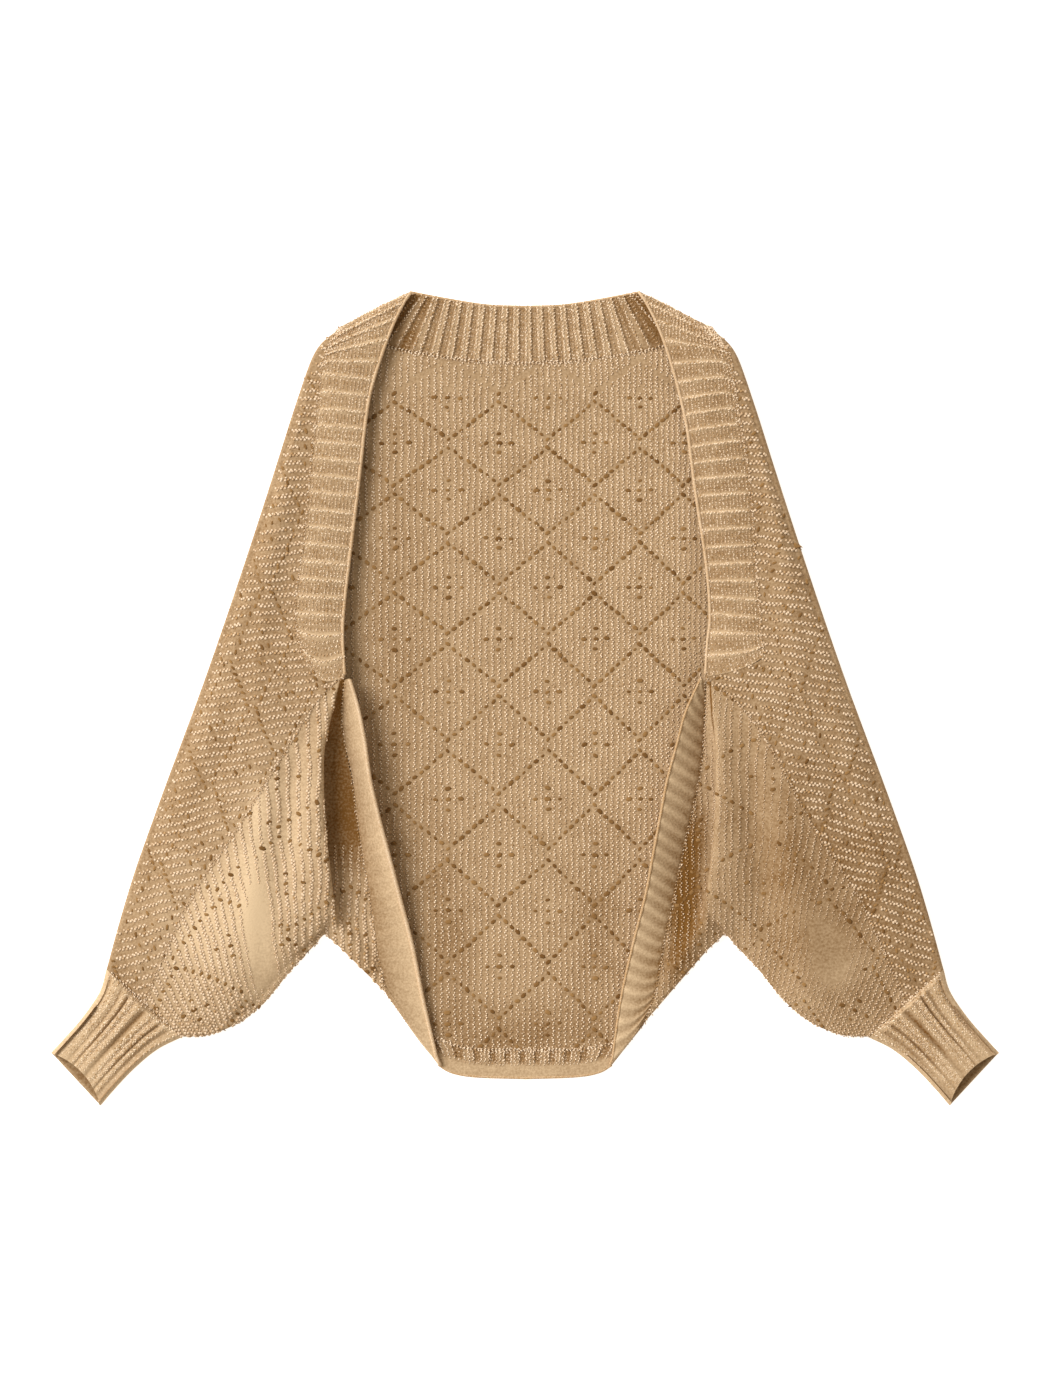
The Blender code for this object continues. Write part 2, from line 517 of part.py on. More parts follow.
def sleeve(lines, front, low):
    """One sleeve side as a tube from the rim to the cuff seam. Returns its last ring and normals."""
    side = lines.side
    front_points, front_normals = front
    low_points, low_normals, low_rows = low
    hollow = len(HOLLOW["span"])
    rows = hollow + SLEEVE_ROWS
    past = np.concatenate([np.zeros(hollow), np.arange(1, SLEEVE_ROWS + 1) / SLEEVE_ROWS])
    step = np.arange(rows) / (hollow - 1)

    # Lines along the tube: the arm's fold, the sleeve seam and the fold of the body and underarm.
    arm_share = np.append(HOLLOW["arm_fold"], blend(HOLLOW["arm_fold"][-1], 1, past[hollow:]))
    seam_share = np.append(HOLLOW["sleeve_seam"], blend(HOLLOW["sleeve_seam"][-1], 1, past[hollow:]))
    arm_travel = lengths(lines.arm_fold)[-1] * (1 - arm_share)
    body_length, low_length = lengths(lines.body_fold)[-1], lengths(lines.low_fold)[-1]
    spread = np.append(HOLLOW["spread"], np.zeros(SLEEVE_ROWS))
    spread[0] = body_length
    low_travel = body_length - spread + past * (low_length - body_length)
    arm_radius = np.full(rows, ARM_FOLD_RADIUS)
    low_radius = blend(BODY_FOLD_RADIUS, ARM_FOLD_RADIUS, ease(step - 0.8))
    seam = at_share(lines.sleeve_seam, seam_share)
    arm, arm_out = beside(lines.arm_fold, arm_travel, 0)
    edge, edge_out = beside(lines.low_fold, low_travel, 0)
    side_line = np.array([edge[0], arm[0]])
    cuff_line = np.array([edge[-1], arm[-1]])
    arm_known = points_at_insets(side_line[::-1], lines.arm_fold, FOLD_STEPS[1:] * ARM_FOLD_RADIUS)
    low_known = points_at_insets(side_line, lines.low_fold, FOLD_STEPS[1:] * BODY_FOLD_RADIUS)
    arm_lines = (lines.arm_fold, arm_travel, 1 - arm_share, arm_radius)
    low_lines = (lines.low_fold, low_travel, spread / body_length, low_radius)
    arm_top, arm_top_out = fold_columns(*arm_lines, front_points[1:3], cuff_line[::-1], True)
    arm_under, arm_under_out = fold_columns(*arm_lines, arm_known, cuff_line[::-1], False)
    low_top, low_top_out = fold_columns(*low_lines, low_points[[-2, -3]], cuff_line, True)
    low_under, low_under_out = fold_columns(*low_lines, low_known, cuff_line, False)

    # Upper layer, row by row: from the arm's fold to the sleeve seam, then on to the lower fold.
    mouth = front_points[2:]
    cuff_top = blend(arm_top[1][-1, :2], seam[-1], np.linspace(0, 1, len(mouth))[:, None])
    distance = nearest_on(lines.silhouette, mouth)[0]
    reach = 1 - np.exp(-np.maximum(distance - ARM_FOLD_RADIUS, 0) / EDGE_REACH)
    lowest = 2 * ARM_FOLD_RADIUS
    loose = np.where(reach > 0.12, lowest + (mouth[:, 2] - lowest) / reach.clip(0.12), 15)
    knots = low_points[:-3]
    fold = at_rows(lines.hollow_fold, low_rows[:-3])
    deep = ease((fold[:, 2] - knots[:, 2] - 4) / 14)
    hang = ease((fold[:, 2] - knots[:, 2] - 13) / 6)
    behind = unit(np.gradient(fold[:, :2], axis=0))[:, ::-1] * (-1, 1)
    room = np.linalg.norm(fold[:, :2] - knots[:, :2], axis=1)
    cuff_low = blend(seam[-1], low_top[1][-1, :2], np.linspace(0, 1, len(knots) + 2)[:, None])
    upper, lower = [], []
    for j in range(rows):
        shares = blend(arm_share[j], seam_share[j], np.linspace(0, 1, len(mouth)))
        path = patch(mouth[:, :2], cuff_top, arm_top[1][j, :2], seam[j], shares)
        distance, foot, _ = nearest_on(lines.arm, path)
        clear = ARM_FOLD_RADIUS + 2.2 * np.arange(len(path))
        pushed = foot + unit(path - foot) * clear[:, None]
        path = np.where((distance < clear)[:, None], pushed, path)
        crown = blend(loose, CROWN_HEIGHT, ease(shares / 0.2))
        plateau = blend(crown, CUFF_SEAM_HEIGHT, ease(2 * shares - 1))
        distance = nearest_on(lines.silhouette, path)[0]
        height = top_height(distance, plateau, ARM_FOLD_RADIUS)
        fade = ease(shares / 0.06) * (1 - shares**4) * np.clip(distance / 25, 0, 1)
        upper.append(np.column_stack([path, height + crease_height(path, side) * fade])[1:])
        if j < hollow:
            flat_span = np.maximum(step[j], 1 - HOLLOW["spread"][j] / room)
            span = blend(flat_span, HOLLOW["span"][j], deep)[:, None]
            back = hang * HOLLOW["tuck"][j] * np.clip(room / 18, 0, 1) + deep * HOLLOW["round"][j]
            plan = blend(knots[:, :2], fold[:, :2], span) + behind * back[:, None]
            height = blend(knots[:, 2], fold[:, 2], blend(ease(span[:, 0]), HOLLOW["rise"][j], deep))
            crest = np.vstack([seam[j], plan, low_top[1][j, :2]])
        else:
            plan = patch(crest, cuff_low, seam[j], low_top[1][j, :2], np.full(len(crest), past[j]))[1:-1]
            distance = nearest_on(lines.silhouette, plan)[0]
            plateau = blend(CROWN_HEIGHT, CUFF_SEAM_HEIGHT, ease(2 * past[j] - 1))
            fade = (1 - past[j] ** 4) * np.clip(distance / 25, 0, 1)
            formed = top_height(distance, plateau, ARM_FOLD_RADIUS) + crease_height(plan, side) * fade
            height = blend(fold[:, 2], formed, ease(past[j] / 0.2))
        lower.append(np.column_stack([plan, height]))
    upper, lower = np.array(upper), np.array(lower)
    upper[0] = mouth[1:]

    # Whole rings, then their normals.
    def columns(points):
        return np.stack(points, axis=1)

    def level(plan, height):
        return np.column_stack([plan, height])[:, None]

    under = blend(low_under[1][:, None], arm_under[1][:, None], np.array([[0.25], [0.5], [0.75]])[None])
    parts = [
        level(arm, arm_radius),
        columns(arm_top),
        upper,
        lower,
        columns(low_top[::-1]),
        level(edge, low_radius),
        columns(low_under),
        under,
        columns(arm_under[::-1]),
    ]
    rings = np.concatenate(parts, axis=1)
    flat = np.zeros(rows)
    known = [
        level(arm_out, flat),
        columns(arm_top_out),
        upper * np.nan,
        lower * np.nan,
        columns(low_top_out[::-1]),
        level(edge_out, flat),
        columns(low_under_out),
        under * 0 + (0, 0, -1),
        columns(arm_under_out[::-1]),
    ]
    known = np.concatenate(known, axis=1)
    along = np.gradient(rings, axis=0)
    across = np.roll(rings, -1, axis=1) - np.roll(rings, 1, axis=1)
    normals = unit(np.cross(across, along))
    if normals[:, -3, 2].mean() > 0:
        normals = -normals
    given = ~np.isnan(known[..., 0])
    normals[given] = known[given]
    for k in range(rings.shape[1] - 7, rings.shape[1]):
        normals[0, k] = in_seam_plane(normals[0, k], np.append(side_line[1] - side_line[0], 0))
    up_count = len(front_points)
    normals[0, :up_count] = front_normals
    normals[0, up_count : up_count + len(knots)] = low_normals[:-3]
    normals[0, up_count + len(knots) : up_count + len(low_points)] = low_normals[-3:]
    normals[-1] = ring_plane_normals(rings[-1])
    outer, inner = rings.copy(), rings - normals * WALL
    trim(outer, inner, 0, 1)
    trim(outer, inner, -1, -2)
    wall_object("sleeve_" + side, place(outer, side), place(inner, side), CLOTH, ring=True)
    return rings[-1], normals[-1]


def ring_plane_normals(ring):
    """Outward normals of a flattened ring, in the upright plane that it lies in."""
    low, high = ring[:, :2][ring[:, 0].argmin()], ring[:, :2][ring[:, 0].argmax()]
    sideways = unit(high - low)
    flat = np.column_stack([(ring[:, :2] - low) @ sideways, ring[:, 2]])
    step = np.roll(flat, -1, axis=0) - np.roll(flat, 1, axis=0)
    out = unit(np.column_stack([step[:, 1], -step[:, 0]]))
    if (out * (flat - flat.mean(axis=0))).sum() < 0:
        out = -out
    return np.column_stack([out[:, :1] * sideways, out[:, 1]])


def cuff(side, seam_ring, seam_normals):
    """One ribbed cuff, a flattened tube from the sleeve's last ring to its open end."""
    table = smooth_curve(*(CUFF[name] for name in ("outer_out", "outer_up", "inner_out", "inner_up")))
    along = np.array((0, 0.07, 0.25, 0.45, 0.65, 0.85, 1))
    middle = (table[:, :2] + table[:, 2:]) / 2
    travel = np.interp(along * lengths(middle)[-1], lengths(middle), np.arange(len(table)))
    sides = np.column_stack([np.interp(travel, np.arange(len(table)), column) for column in table.T])
    places, lift = rib_places(CUFF_RIBS, RIB_SHARE["cuff"])
    first_width = np.linalg.norm(sides[0, 2:] - sides[0, :2])
    radius = ARM_FOLD_RADIUS
    inset = FOLD_STEPS * radius
    flat = inset[2] + (first_width - 2 * inset[2]) * places
    top = np.concatenate([inset[:2], flat, first_width - inset[1::-1]]) / first_width
    top_lift = np.concatenate([[0, 0.5], lift, [0.5, 0]])
    bottom = np.concatenate([first_width - inset[1:], first_width * np.array([0.66, 0.34]), inset[:0:-1]])
    bottom = bottom / first_width
    rings, normals = [], []
    for j, (outer, inner) in enumerate(zip(sides[:, :2], sides[:, 2:])):
        width = np.linalg.norm(inner - outer)
        axis = unit(np.array([inner[1] - outer[1], outer[0] - inner[0]]))
        height = blend(CUFF_SEAM_HEIGHT, CUFF_END_HEIGHT, along[j])
        share = np.concatenate([top, bottom])
        inset_here = np.minimum(share, 1 - share) * first_width
        inset_here = np.where(inset_here < radius, inset_here, inset_here * width / first_width)
        bend = np.clip(1 - inset_here / radius, 0, 1)
        curve = radius * np.sqrt(1 - bend * bend)
        is_top = np.arange(len(share)) < len(top)
        level = np.where(inset_here < radius, radius + curve, top_height(inset_here, height, radius))
        level = np.where(is_top, level, radius - curve)
        across = np.where(inset_here < radius, inset_here, 0) / width
        across = np.where(inset_here < radius, np.where(share < 0.5, across, 1 - across), share)
        plan = blend(outer, inner, across[:, None])
        setback = CUFF_SETBACK * (1 - (2 * share - 1) ** 2) * along[j] ** 4 * is_top
        plan = plan + axis * setback[:, None] * np.sign(axis[1] + 1e-9)
        rings.append(np.column_stack([plan, level]))
        normals.append(ring_plane_normals(np.column_stack([blend(outer, inner, across[:, None]), level])))
    rings, normals = np.array(rings), np.array(normals)
    rings[0], normals[0] = on_ring(seam_ring, seam_normals, rings[0, :, :2], len(top))
    raised = np.concatenate([top_lift, 0 * bottom]) * RIB_HEIGHT
    lift = raised[None] * ease(along / 0.07)[:, None]
    outer, inner = rings + normals * lift[..., None], rings - normals * WALL
    trim(outer, inner, 0, 1)
    wall_object("cuff_" + side, place(outer, side), place(inner, side), RIB_CLOTH, ring=True)


def on_ring(ring, normals, plan, top_count):
    """Points and normals of a sleeve's last ring below the given plan points."""
    start, end = ring[:, :2][ring[:, 0].argmax()], ring[:, :2][ring[:, 0].argmin()]
    sideways = unit(end - start)
    where, wanted = (ring[:, :2] - start) @ sideways, (plan - start) @ sideways
    turn = int(where.argmax())
    parts = []
    for chosen, spots in ((np.arange(turn + 1), wanted[:top_count]), (None, wanted[top_count:])):
        if chosen is None:
            chosen = np.append(np.arange(turn, len(ring)), 0)[::-1]
        values = np.column_stack([ring, normals])[chosen]
        parts.append(
            np.column_stack([np.interp(spots, where[chosen], values[:, k]) for k in range(6)])
        )
    found = np.vstack(parts)
    return found[:, :3], unit(found[:, 3:])


# Back layer.


def flat_band(name, seam, edge, lift):
    """A ribbed band that lies flat, from seam points to edge points."""
    base = blend(seam[:, None], edge[:, None], ACROSS[None, :, None])
    base = np.dstack([base, np.full(base.shape[:2], WALL)])
    normals = np.zeros_like(base) + (0, 0, 1)
    band_wall(name, base, normals, lift[:, None] * RIB_HEIGHT * (ACROSS > 0))


def mirrored(table):
    """A dense curve of a table that runs out from the centre, on both sides."""
    half = smooth_curve(table["out"], table["up"])
    left = half[::-1] * (-1, 1)
    return np.vstack([left[:-1], half])


def neck_band():
    places, lift = rib_places(BAND_RIBS["neck"], RIB_SHARE["neck"])
    spread = 2 * places - 1
    edge_line, seam_line = mirrored(NECK_EDGE), mirrored(NECK_SEAM)
    half_edge, half_seam = NECK_EDGE["out"][-1], NECK_SEAM["out"][-1]
    seam_out = blend(half_edge * 1.14 * spread, half_seam * np.sign(spread), np.abs(spread) ** 9)
    edge = np.column_stack([half_edge * spread, np.interp(half_edge * spread, *edge_line.T)])
    seam = np.column_stack([seam_out, np.interp(seam_out, *seam_line.T)])
    flat_band("neck_band", seam, edge, lift * (np.abs(spread) < 0.86))
    return seam


def hem_band(sides):
    places, lift = rib_places(BAND_RIBS["hem"], RIB_SHARE["hem"])
    spread = 2 * places - 1
    edge_line = mirrored(HEM_EDGE)
    half = HEM_EDGE["out"][-1]
    edge = np.column_stack([half * spread, np.interp(half * spread, *edge_line.T)])
    seam = np.column_stack([half * 1.04 * spread, np.full(len(spread), HEM_SEAM_UP)])
    for side, sign in (("left", -1), ("right", 1)):
        corner = sides[side].side_seam[-1, :2] * (sign, 1)
        toward = np.where(spread * sign > 0, np.abs(spread), 0)[:, None]
        seam = blend(seam, corner, toward**7)
    flat_band("hem_band", seam, edge, lift * (np.abs(spread) < 0.8))
    return seam


def back_panel(neck_seam, hem_seam, sides):
    """The flat back, between the seams of the neck and hem bands and the lines of the sleeves."""
    outline = np.vstack([hem_seam, neck_seam[::-1]])
    count = len(outline)
    before, after = np.roll(outline, 1, axis=0), np.roll(outline, -1, axis=0)
    first, second = unit(outline - before), unit(after - outline)
    turn = unit(first + second)
    inward = np.column_stack([-turn[:, 1], turn[:, 0]])
    slant = (inward * np.column_stack([-first[:, 1], first[:, 0]])).sum(axis=1)
    shape = outline + inward * (SEAM_GAP / 2 / slant)[:, None]
    top = np.column_stack([shape, np.full(count, WALL)])
    bottom = np.column_stack([shape, np.zeros(count)])
    faces = [tuple(range(count)), tuple(range(2 * count - 1, count - 1, -1))]
    faces += [(k, k + count, (k + 1) % count + count, (k + 1) % count) for k in range(count)]
    mesh_object("back_panel", np.vstack([top, bottom]), faces, CLOTH)


def build():
    for thing in list(bpy.data.objects):
        bpy.data.objects.remove(thing, do_unlink=True)
    sides = {side: Side(side) for side in ("left", "right")}
    for side, lines in sides.items():
        cuff(side, *sleeve(lines, front_band(lines), side_band(lines)))
    back_panel(neck_band(), hem_band(sides), sides)


build()
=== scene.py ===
# A knitted open-front shrug with batwing sleeves, laid flat on its back and seen from above.
# The dictionaries are in millimetres, with "out" from the centre line and "up" the cloth.

import json

import bpy
import numpy as np
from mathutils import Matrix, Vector

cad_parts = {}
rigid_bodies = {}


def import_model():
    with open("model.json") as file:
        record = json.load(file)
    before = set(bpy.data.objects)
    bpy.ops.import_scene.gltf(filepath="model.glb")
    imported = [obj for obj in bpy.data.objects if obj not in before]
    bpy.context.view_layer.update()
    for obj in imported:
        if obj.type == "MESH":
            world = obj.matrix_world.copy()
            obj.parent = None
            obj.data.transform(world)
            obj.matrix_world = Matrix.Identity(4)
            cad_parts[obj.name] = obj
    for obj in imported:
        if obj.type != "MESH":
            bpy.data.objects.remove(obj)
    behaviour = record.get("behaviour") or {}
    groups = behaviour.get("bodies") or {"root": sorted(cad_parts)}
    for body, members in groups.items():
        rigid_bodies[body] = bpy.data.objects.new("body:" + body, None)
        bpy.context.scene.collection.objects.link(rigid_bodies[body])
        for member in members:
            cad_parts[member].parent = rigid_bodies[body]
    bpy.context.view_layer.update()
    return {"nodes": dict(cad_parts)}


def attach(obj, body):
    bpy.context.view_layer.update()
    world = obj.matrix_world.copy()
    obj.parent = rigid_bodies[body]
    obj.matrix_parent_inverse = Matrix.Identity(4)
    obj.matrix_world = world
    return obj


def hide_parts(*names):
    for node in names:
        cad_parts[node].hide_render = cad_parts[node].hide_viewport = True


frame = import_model()
print("frame loaded:", len(frame["nodes"]), "solids")

toMetres = 0.001

cloth = {
    "wall": 3.0,  # whole thickness, yarn loops and all
    "ground": 1.1,  # how far the closed ground of the knit lies below the tops of its loops
    "armRadius": 5.5,  # outer radius of the fold along the arm
    "bodyRadius": 4.2,  # outer radius of the fold along the lower body
    "crown": 25.0,  # height of a sleeve's loose top layer
    "cuffSeamHeight": 16.0,
    "cuffEndHeight": 14.0,
    "edgeReach": 20.0,  # how far from a fold the cloth takes to rise to its height
    "creaseFade": 25.0,  # how far from a fold the creases take to show in full
    "curlFoot": 3.4,  # height at which the rim's curled bands end on the folds
    "bandCrown": 1.5,  # how far a front band rises between its seam and its edge
    "cuffSetback": 9.0,  # how far the upper lip of a cuff's mouth lies behind the lower one
    "sleeveRows": 13,  # rows from the hollow's fold to the cuff seam
    "foldTurns": 6,  # rows round a quarter of a fold
    "spacing": 4.4,  # of the ground's points
    "sharpAngle": 0.9,  # past which two faces meet in a sharp edge
}

# Outline, the same on both sides. Each table is one smooth curve through its rows.
armFold = {  # from the shoulder to the cuff seam
    "out": (166.5, 186, 197, 208, 235.5, 264, 294, 326, 356.5, 378),
    "up": (336, 319.5, 298, 265.5, 179, 92.5, 6, -80, -166.5, -242.5),
}
bodyEdge = {  # from the hem corner up to the underarm
    "out": (78, 94.5, 112.5, 130.5, 155, 180),
    "up": (-330.5, -311, -286, -260, -236.5, -213.5),
}
underarmFold = {  # from the underarm to the cuff seam
    "out": (180, 209, 232, 255.5, 283.5, 308.5),
    "up": (-213.5, -244, -272, -291.5, -303.5, -305.5),
}
neckEdge = {"out": (0, 35, 70, 103.5), "up": (354, 355.5, 361, 367.5)}
neckSeam = {"out": (0, 40, 75, 100, 124, 166.5), "up": (302, 303.5, 307.5, 312, 317, 336)}
hemSeamUp = -316.0
hemEdge = {"out": (0, 45, 66, 78), "up": (-342, -340.5, -337, -330.5)}
cuffLines = {  # outer and inner side of the flattened cuff, from its seam to its open end
    "outerOut": (378, 384, 399.5, 416, 428),
    "outerUp": (-242.5, -263, -286, -305, -318),
    "innerOut": (308.5, 331, 352, 370, 382),
    "innerUp": (-305.5, -317, -334.5, -353.5, -367.5),
}

# Rim, where left and right lie a little differently. Each row is one rib's line across the band.
frontBandLines = {
    "left": {
        "seamOut": (166.5, 177.5, 183, 187, 193.5, 199, 206.5, 205, 200.5),
        "seamUp": (336, 317, 300.5, 265.5, 201.5, 143, 89, 60.5, 42),
        "edgeOut": (103.5, 119, 134, 142, 149.5, 156.5, 162.5, 164, 162),
        "edgeUp": (367.5, 336.5, 294.5, 261, 197, 138.5, 86.5, 56, 20),
    },
    "right": {
        "seamOut": (166.5, 178, 185, 192.5, 202.5, 207, 211.5, 212.5, 215),
        "seamUp": (336, 320, 305, 255.5, 193.5, 125, 71, 53, 38.5),
        "edgeOut": (103.5, 119.5, 133, 145.5, 153, 163, 166.5, 164, 162),
        "edgeUp": (367.5, 336.5, 298, 246.5, 190, 123, 75.5, 51, 20),
    },
}
frontBandHeight = {
    "seam": (14, 14.5, 15, 15, 15, 16, 18, 19.5, 21),
    "edge": (13, 13.5, 14, 14.5, 15, 15.5, 17, 19, 22),
}
bandTail = {"left": 15.0, "right": 4.0}  # how far the front band's lower end bows down
sideBandLines = {
    "left": {
        "seamOut": (162.5, 165, 163, 156.5, 152, 146.5, 140.5, 135, 128.5, 125),
        "seamUp": (17, -12, -39, -68.5, -104.5, -142, -176.5, -221.5, -250, -267),
        "edgeOut": (158.5, 151, 145, 140.5, 133, 123, 113.5, 102, 92, 78),
        "edgeUp": (18, -8, -39.5, -72, -104.5, -142, -178, -221.5, -271, -330.5),
        "foldOut": (168.5, 173, 177.5, 178.5, 178, 174.5, 171.5, 170, 173, 179),
        "foldUp": (13, -12, -39, -68.5, -104.5, -138, -165, -185.5, -199, -207),
    },
    "right": {
        "seamOut": (162.5, 162, 161, 157.5, 150.5, 142, 135, 126, 118, 107),
        "seamUp": (17, -12, -41.5, -73, -104.5, -142, -176.5, -219.5, -264.5, -294),
        "edgeOut": (158.5, 145, 137, 128.5, 122.5, 115.5, 109, 98, 86.5, 78),
        "edgeUp": (18, -12, -41.5, -73, -104.5, -142, -176.5, -219.5, -271, -330.5),
        "foldOut": (168.5, 169, 169.5, 169.5, 167.5, 165, 162, 160, 165, 179),
        "foldUp": (13, -12, -39, -68.5, -104.5, -140.5, -165, -186, -199, -207),
    },
}
sideBandHeight = {
    "left": {
        "seam": (21.5, 13, 9, 7.5, 7.5, 7.5, 7.5, 7.5, 7.7, 8),
        "edge": (24, 25, 26, 26.5, 26, 23, 18, 13, 10.5, 8.4),
    },
    "right": {
        "seam": (21.5, 15, 11, 9, 8, 7.5, 7.5, 7.5, 7.7, 8),
        "edge": (24, 24, 22.5, 21, 20, 19, 17, 14, 11, 8.4),
    },
}
foldCrest = (22.5, 24, 26, 27, 27, 26.5, 25.5, 23, 17.5, 8.4)

sleeveSeam = {  # slanting seam on the front, from the rim corner to the cuff seam
    "left": {
        "out": (162, 182, 220.5, 256.5, 301.5, 343.25),
        "up": (20, 5, -55, -113.5, -181, -274),
    },
    "right": {
        "out": (162, 182, 213.5, 261, 301.5, 343.25),
        "up": (20, 5, -32.5, -118, -181, -274),
    },
}

# Section through the hollow, from the side band's seam out and up over the sleeve's fold.
hollowSection = {
    "span": (0, 0.6, 1, 1, 1, 1, 1),  # share of the way from the seam to the fold
    "tuck": (0, 0, 5.5, 5.5, 1.4, 0, 0),  # millimetres that it goes in under the fold
    "round": (0, 0, 0, 0, 0, 1, 4.6),  # millimetres back from the fold's edge, on its round top
    "rise": (0, 0, 0.06, 0.36, 0.6, 0.82, 1),  # share of the fold's height
    "spread": (99, 18, 14.4, 10.8, 7.2, 3.6, 0),  # millimetres short of the edge where it lies flat
    "armFold": (0, 0.012, 0.024, 0.036, 0.048, 0.06, 0.075),
    "sleeveSeam": (0, 0.004, 0.008, 0.012, 0.016, 0.02, 0.03),
}

# How the sleeve's top layer and the hollow beside it take their height from the bands.
sleeveLoft = {
    "apart": 2.2,  # how far its columns stay from each other beside the arm's fold
    "leastReach": 0.12,  # of the full height, below which the band's height says nothing
    "lowHeight": 15,  # taken there instead
    "risen": 0.2,  # share of the way by which it stands at its full height
    "creased": 0.06,  # share of the way by which creases show
    "deep": (4, 14),  # from how far above the seam the fold makes a hollow, and over how much
    "hang": (13, 6),  # and an overhang
    "hangRoom": 18,  # room across the hollow for a whole overhang
}

# Soft strips on the cloth, each from one place (out, up) to another, with its width and height.
softCreases = {  # a ridge or a trough in a sleeve's top layer
    "left": (
        (178, 0, 196, -190, 11, 3.0),
        (196, -30, 232, -250, 16, -3.5),
        (232, -60, 262, -240, 20, 4.0),
        (262, -20, 330, -200, 14, -3.0),
        (300, -110, 345, -250, 12, 2.5),
        (225, 120, 262, 0, 16, -2.5),
    ),
    "right": (
        (172, 0, 190, -190, 11, 3.0),
        (192, -25, 226, -248, 15, -3.0),
        (228, -70, 256, -255, 22, 4.5),
        (258, -10, 325, -190, 15, -3.5),
        (305, -120, 348, -255, 12, 2.5),
        (232, 110, 268, -10, 15, -2.0),
    ),
}
softPatches = {  # where a sleeve's knit is felted smooth, 1 being wholly
    "left": ((242, -72, 240, -125, 7, 0.7), (243, -145, 238, -265, 14, 1.2), (225, -235, 212, -270, 22, 0.6)),
    "right": (
        (168, 8, 169, -90, 7, 0.55),
        (169, -90, 166, -185, 8, 0.55),
        (222, -70, 215, -170, 16, 0.6),
        (250, -190, 285, -230, 22, 1.0),
        (285, -230, 262, -258, 24, 1.0),
    ),
}
# Painted light and shade: strips that lighten or darken the ground and its stitches where soft folds, hollows
# and the front band's shadow would shade them.
paintedShadingStrips = {  # where the ground and its stitches look lighter or darker
    "back": (
        (-120, 230, -112, -120, 28, -0.1),
        (-85, -130, -62, -290, 28, -0.16),
        (72, -130, 58, -290, 26, -0.14),
        (-60, -305, 60, -305, 28, -0.18),
    ),
    "left": (
        (210, -50, 235, -160, 36, 0.44),
        (240, -150, 280, -240, 46, 0.44),
        (290, -180, 320, -250, 40, 0.36),
        (130, -225, 150, -262, 20, -0.15),
    ),
    "right": (
        (215, -70, 240, -190, 40, -0.2),
        (255, -190, 285, -245, 60, -0.2),
        (152, -100, 138, -250, 15, -0.5),
        (300, -90, 330, -190, 40, -0.08),
    ),
}


def smoothCurve(*columns, steps=12):
    knots = np.column_stack(columns).astype(float)
    ends = np.vstack([2 * knots[0] - knots[1], knots, 2 * knots[-1] - knots[-2]])
    t = np.linspace(0, 1, steps, endpoint=False)[:, None]
    parts = []
    for before, start, end, after in zip(ends, ends[1:], ends[2:], ends[3:]):
        cubic = -before + 3 * start - 3 * end + after
        square = 2 * before - 5 * start + 4 * end - after
        parts.append(start + 0.5 * t * (end - before + t * (square + t * cubic)))
    return np.vstack(parts + [knots[-1:]])


def curveOf(table):
    return smoothCurve(table["out"], table["up"])


def lengths(line):
    return np.concatenate([[0], np.cumsum(np.linalg.norm(np.diff(line[:, :2], axis=0), axis=1))])


def atShare(line, shares):
    along = lengths(line)
    wanted = np.asarray(shares, float) * along[-1]
    return np.column_stack([np.interp(wanted, along, line[:, k]) for k in range(line.shape[1])])


def nearestOn(line, points):
    start, step = line[:-1, :2], np.diff(line[:, :2], axis=0)
    toPoint = points[:, None, :2] - start[None]
    share = np.clip((toPoint * step).sum(2) / np.maximum((step * step).sum(1), 1e-12), 0, 1)
    foot = start + share[..., None] * step
    gap = np.linalg.norm(points[:, None, :2] - foot, axis=2)
    rows, best = np.arange(len(points)), gap.argmin(axis=1)
    along = lengths(line)
    travel = along[best] + share[rows, best] * np.diff(along)[best]
    return gap[rows, best], foot[rows, best], travel


def beside(line, travel, inset):
    heading = unit(np.gradient(line[:, :2], axis=0))
    columns = np.column_stack([line[:, :2], heading]).T
    found = np.column_stack([np.interp(travel, lengths(line), column) for column in columns])
    outward = unit(found[:, [3, 2]] * (1, -1))
    return found[:, :2] - outward * np.reshape(inset, (-1, 1)), outward


def unit(vectors):
    return vectors / np.maximum(np.linalg.norm(vectors, axis=-1, keepdims=True), 1e-9)


def ease(share):
    share = np.clip(share, 0, 1)
    return share * share * (3 - 2 * share)


def blend(first, second, share):
    return first + (second - first) * share


def place(points, side):
    placed = np.array(points, float)
    placed[..., 0] *= -1 if side == "left" else 1
    return placed


def topHeight(distance, plateau, radius):
    reach = 1 - np.exp(-np.maximum(distance - radius, 0) / cloth["edgeReach"])
    return 2 * radius + (plateau - 2 * radius) * reach


def foldHeight(inset, radius, top=True):
    bend = np.clip(1 - inset / radius, 0, 1)
    rise = np.sqrt(1 - bend * bend) * (1 if top else -1)
    return radius * (1 + rise), bend, rise


def roundFold(points, fold, radius):
    distance, _, travel = nearestOn(fold, points)
    _, outward = beside(fold, travel, 0)
    height, bend, rise = foldHeight(distance, radius)
    return height, np.column_stack([outward * bend[:, None], rise])


def shareAtInset(path, fold, inset):
    shares = np.linspace(0, 1, 400)
    distance = nearestOn(fold, atShare(path, shares))[0]
    first = max(1, int(np.argmax(distance >= inset)))
    near = slice(first - 1, first + 1)
    return np.interp(inset, distance[near], shares[near])


def pointsAtInsets(path, fold, insets):
    return atShare(path, [shareAtInset(path, fold, inset) for inset in insets])


foldSteps = 1 - np.cos(np.linspace(0, np.pi / 2, cloth["foldTurns"]))
foldEnd = len(foldSteps)


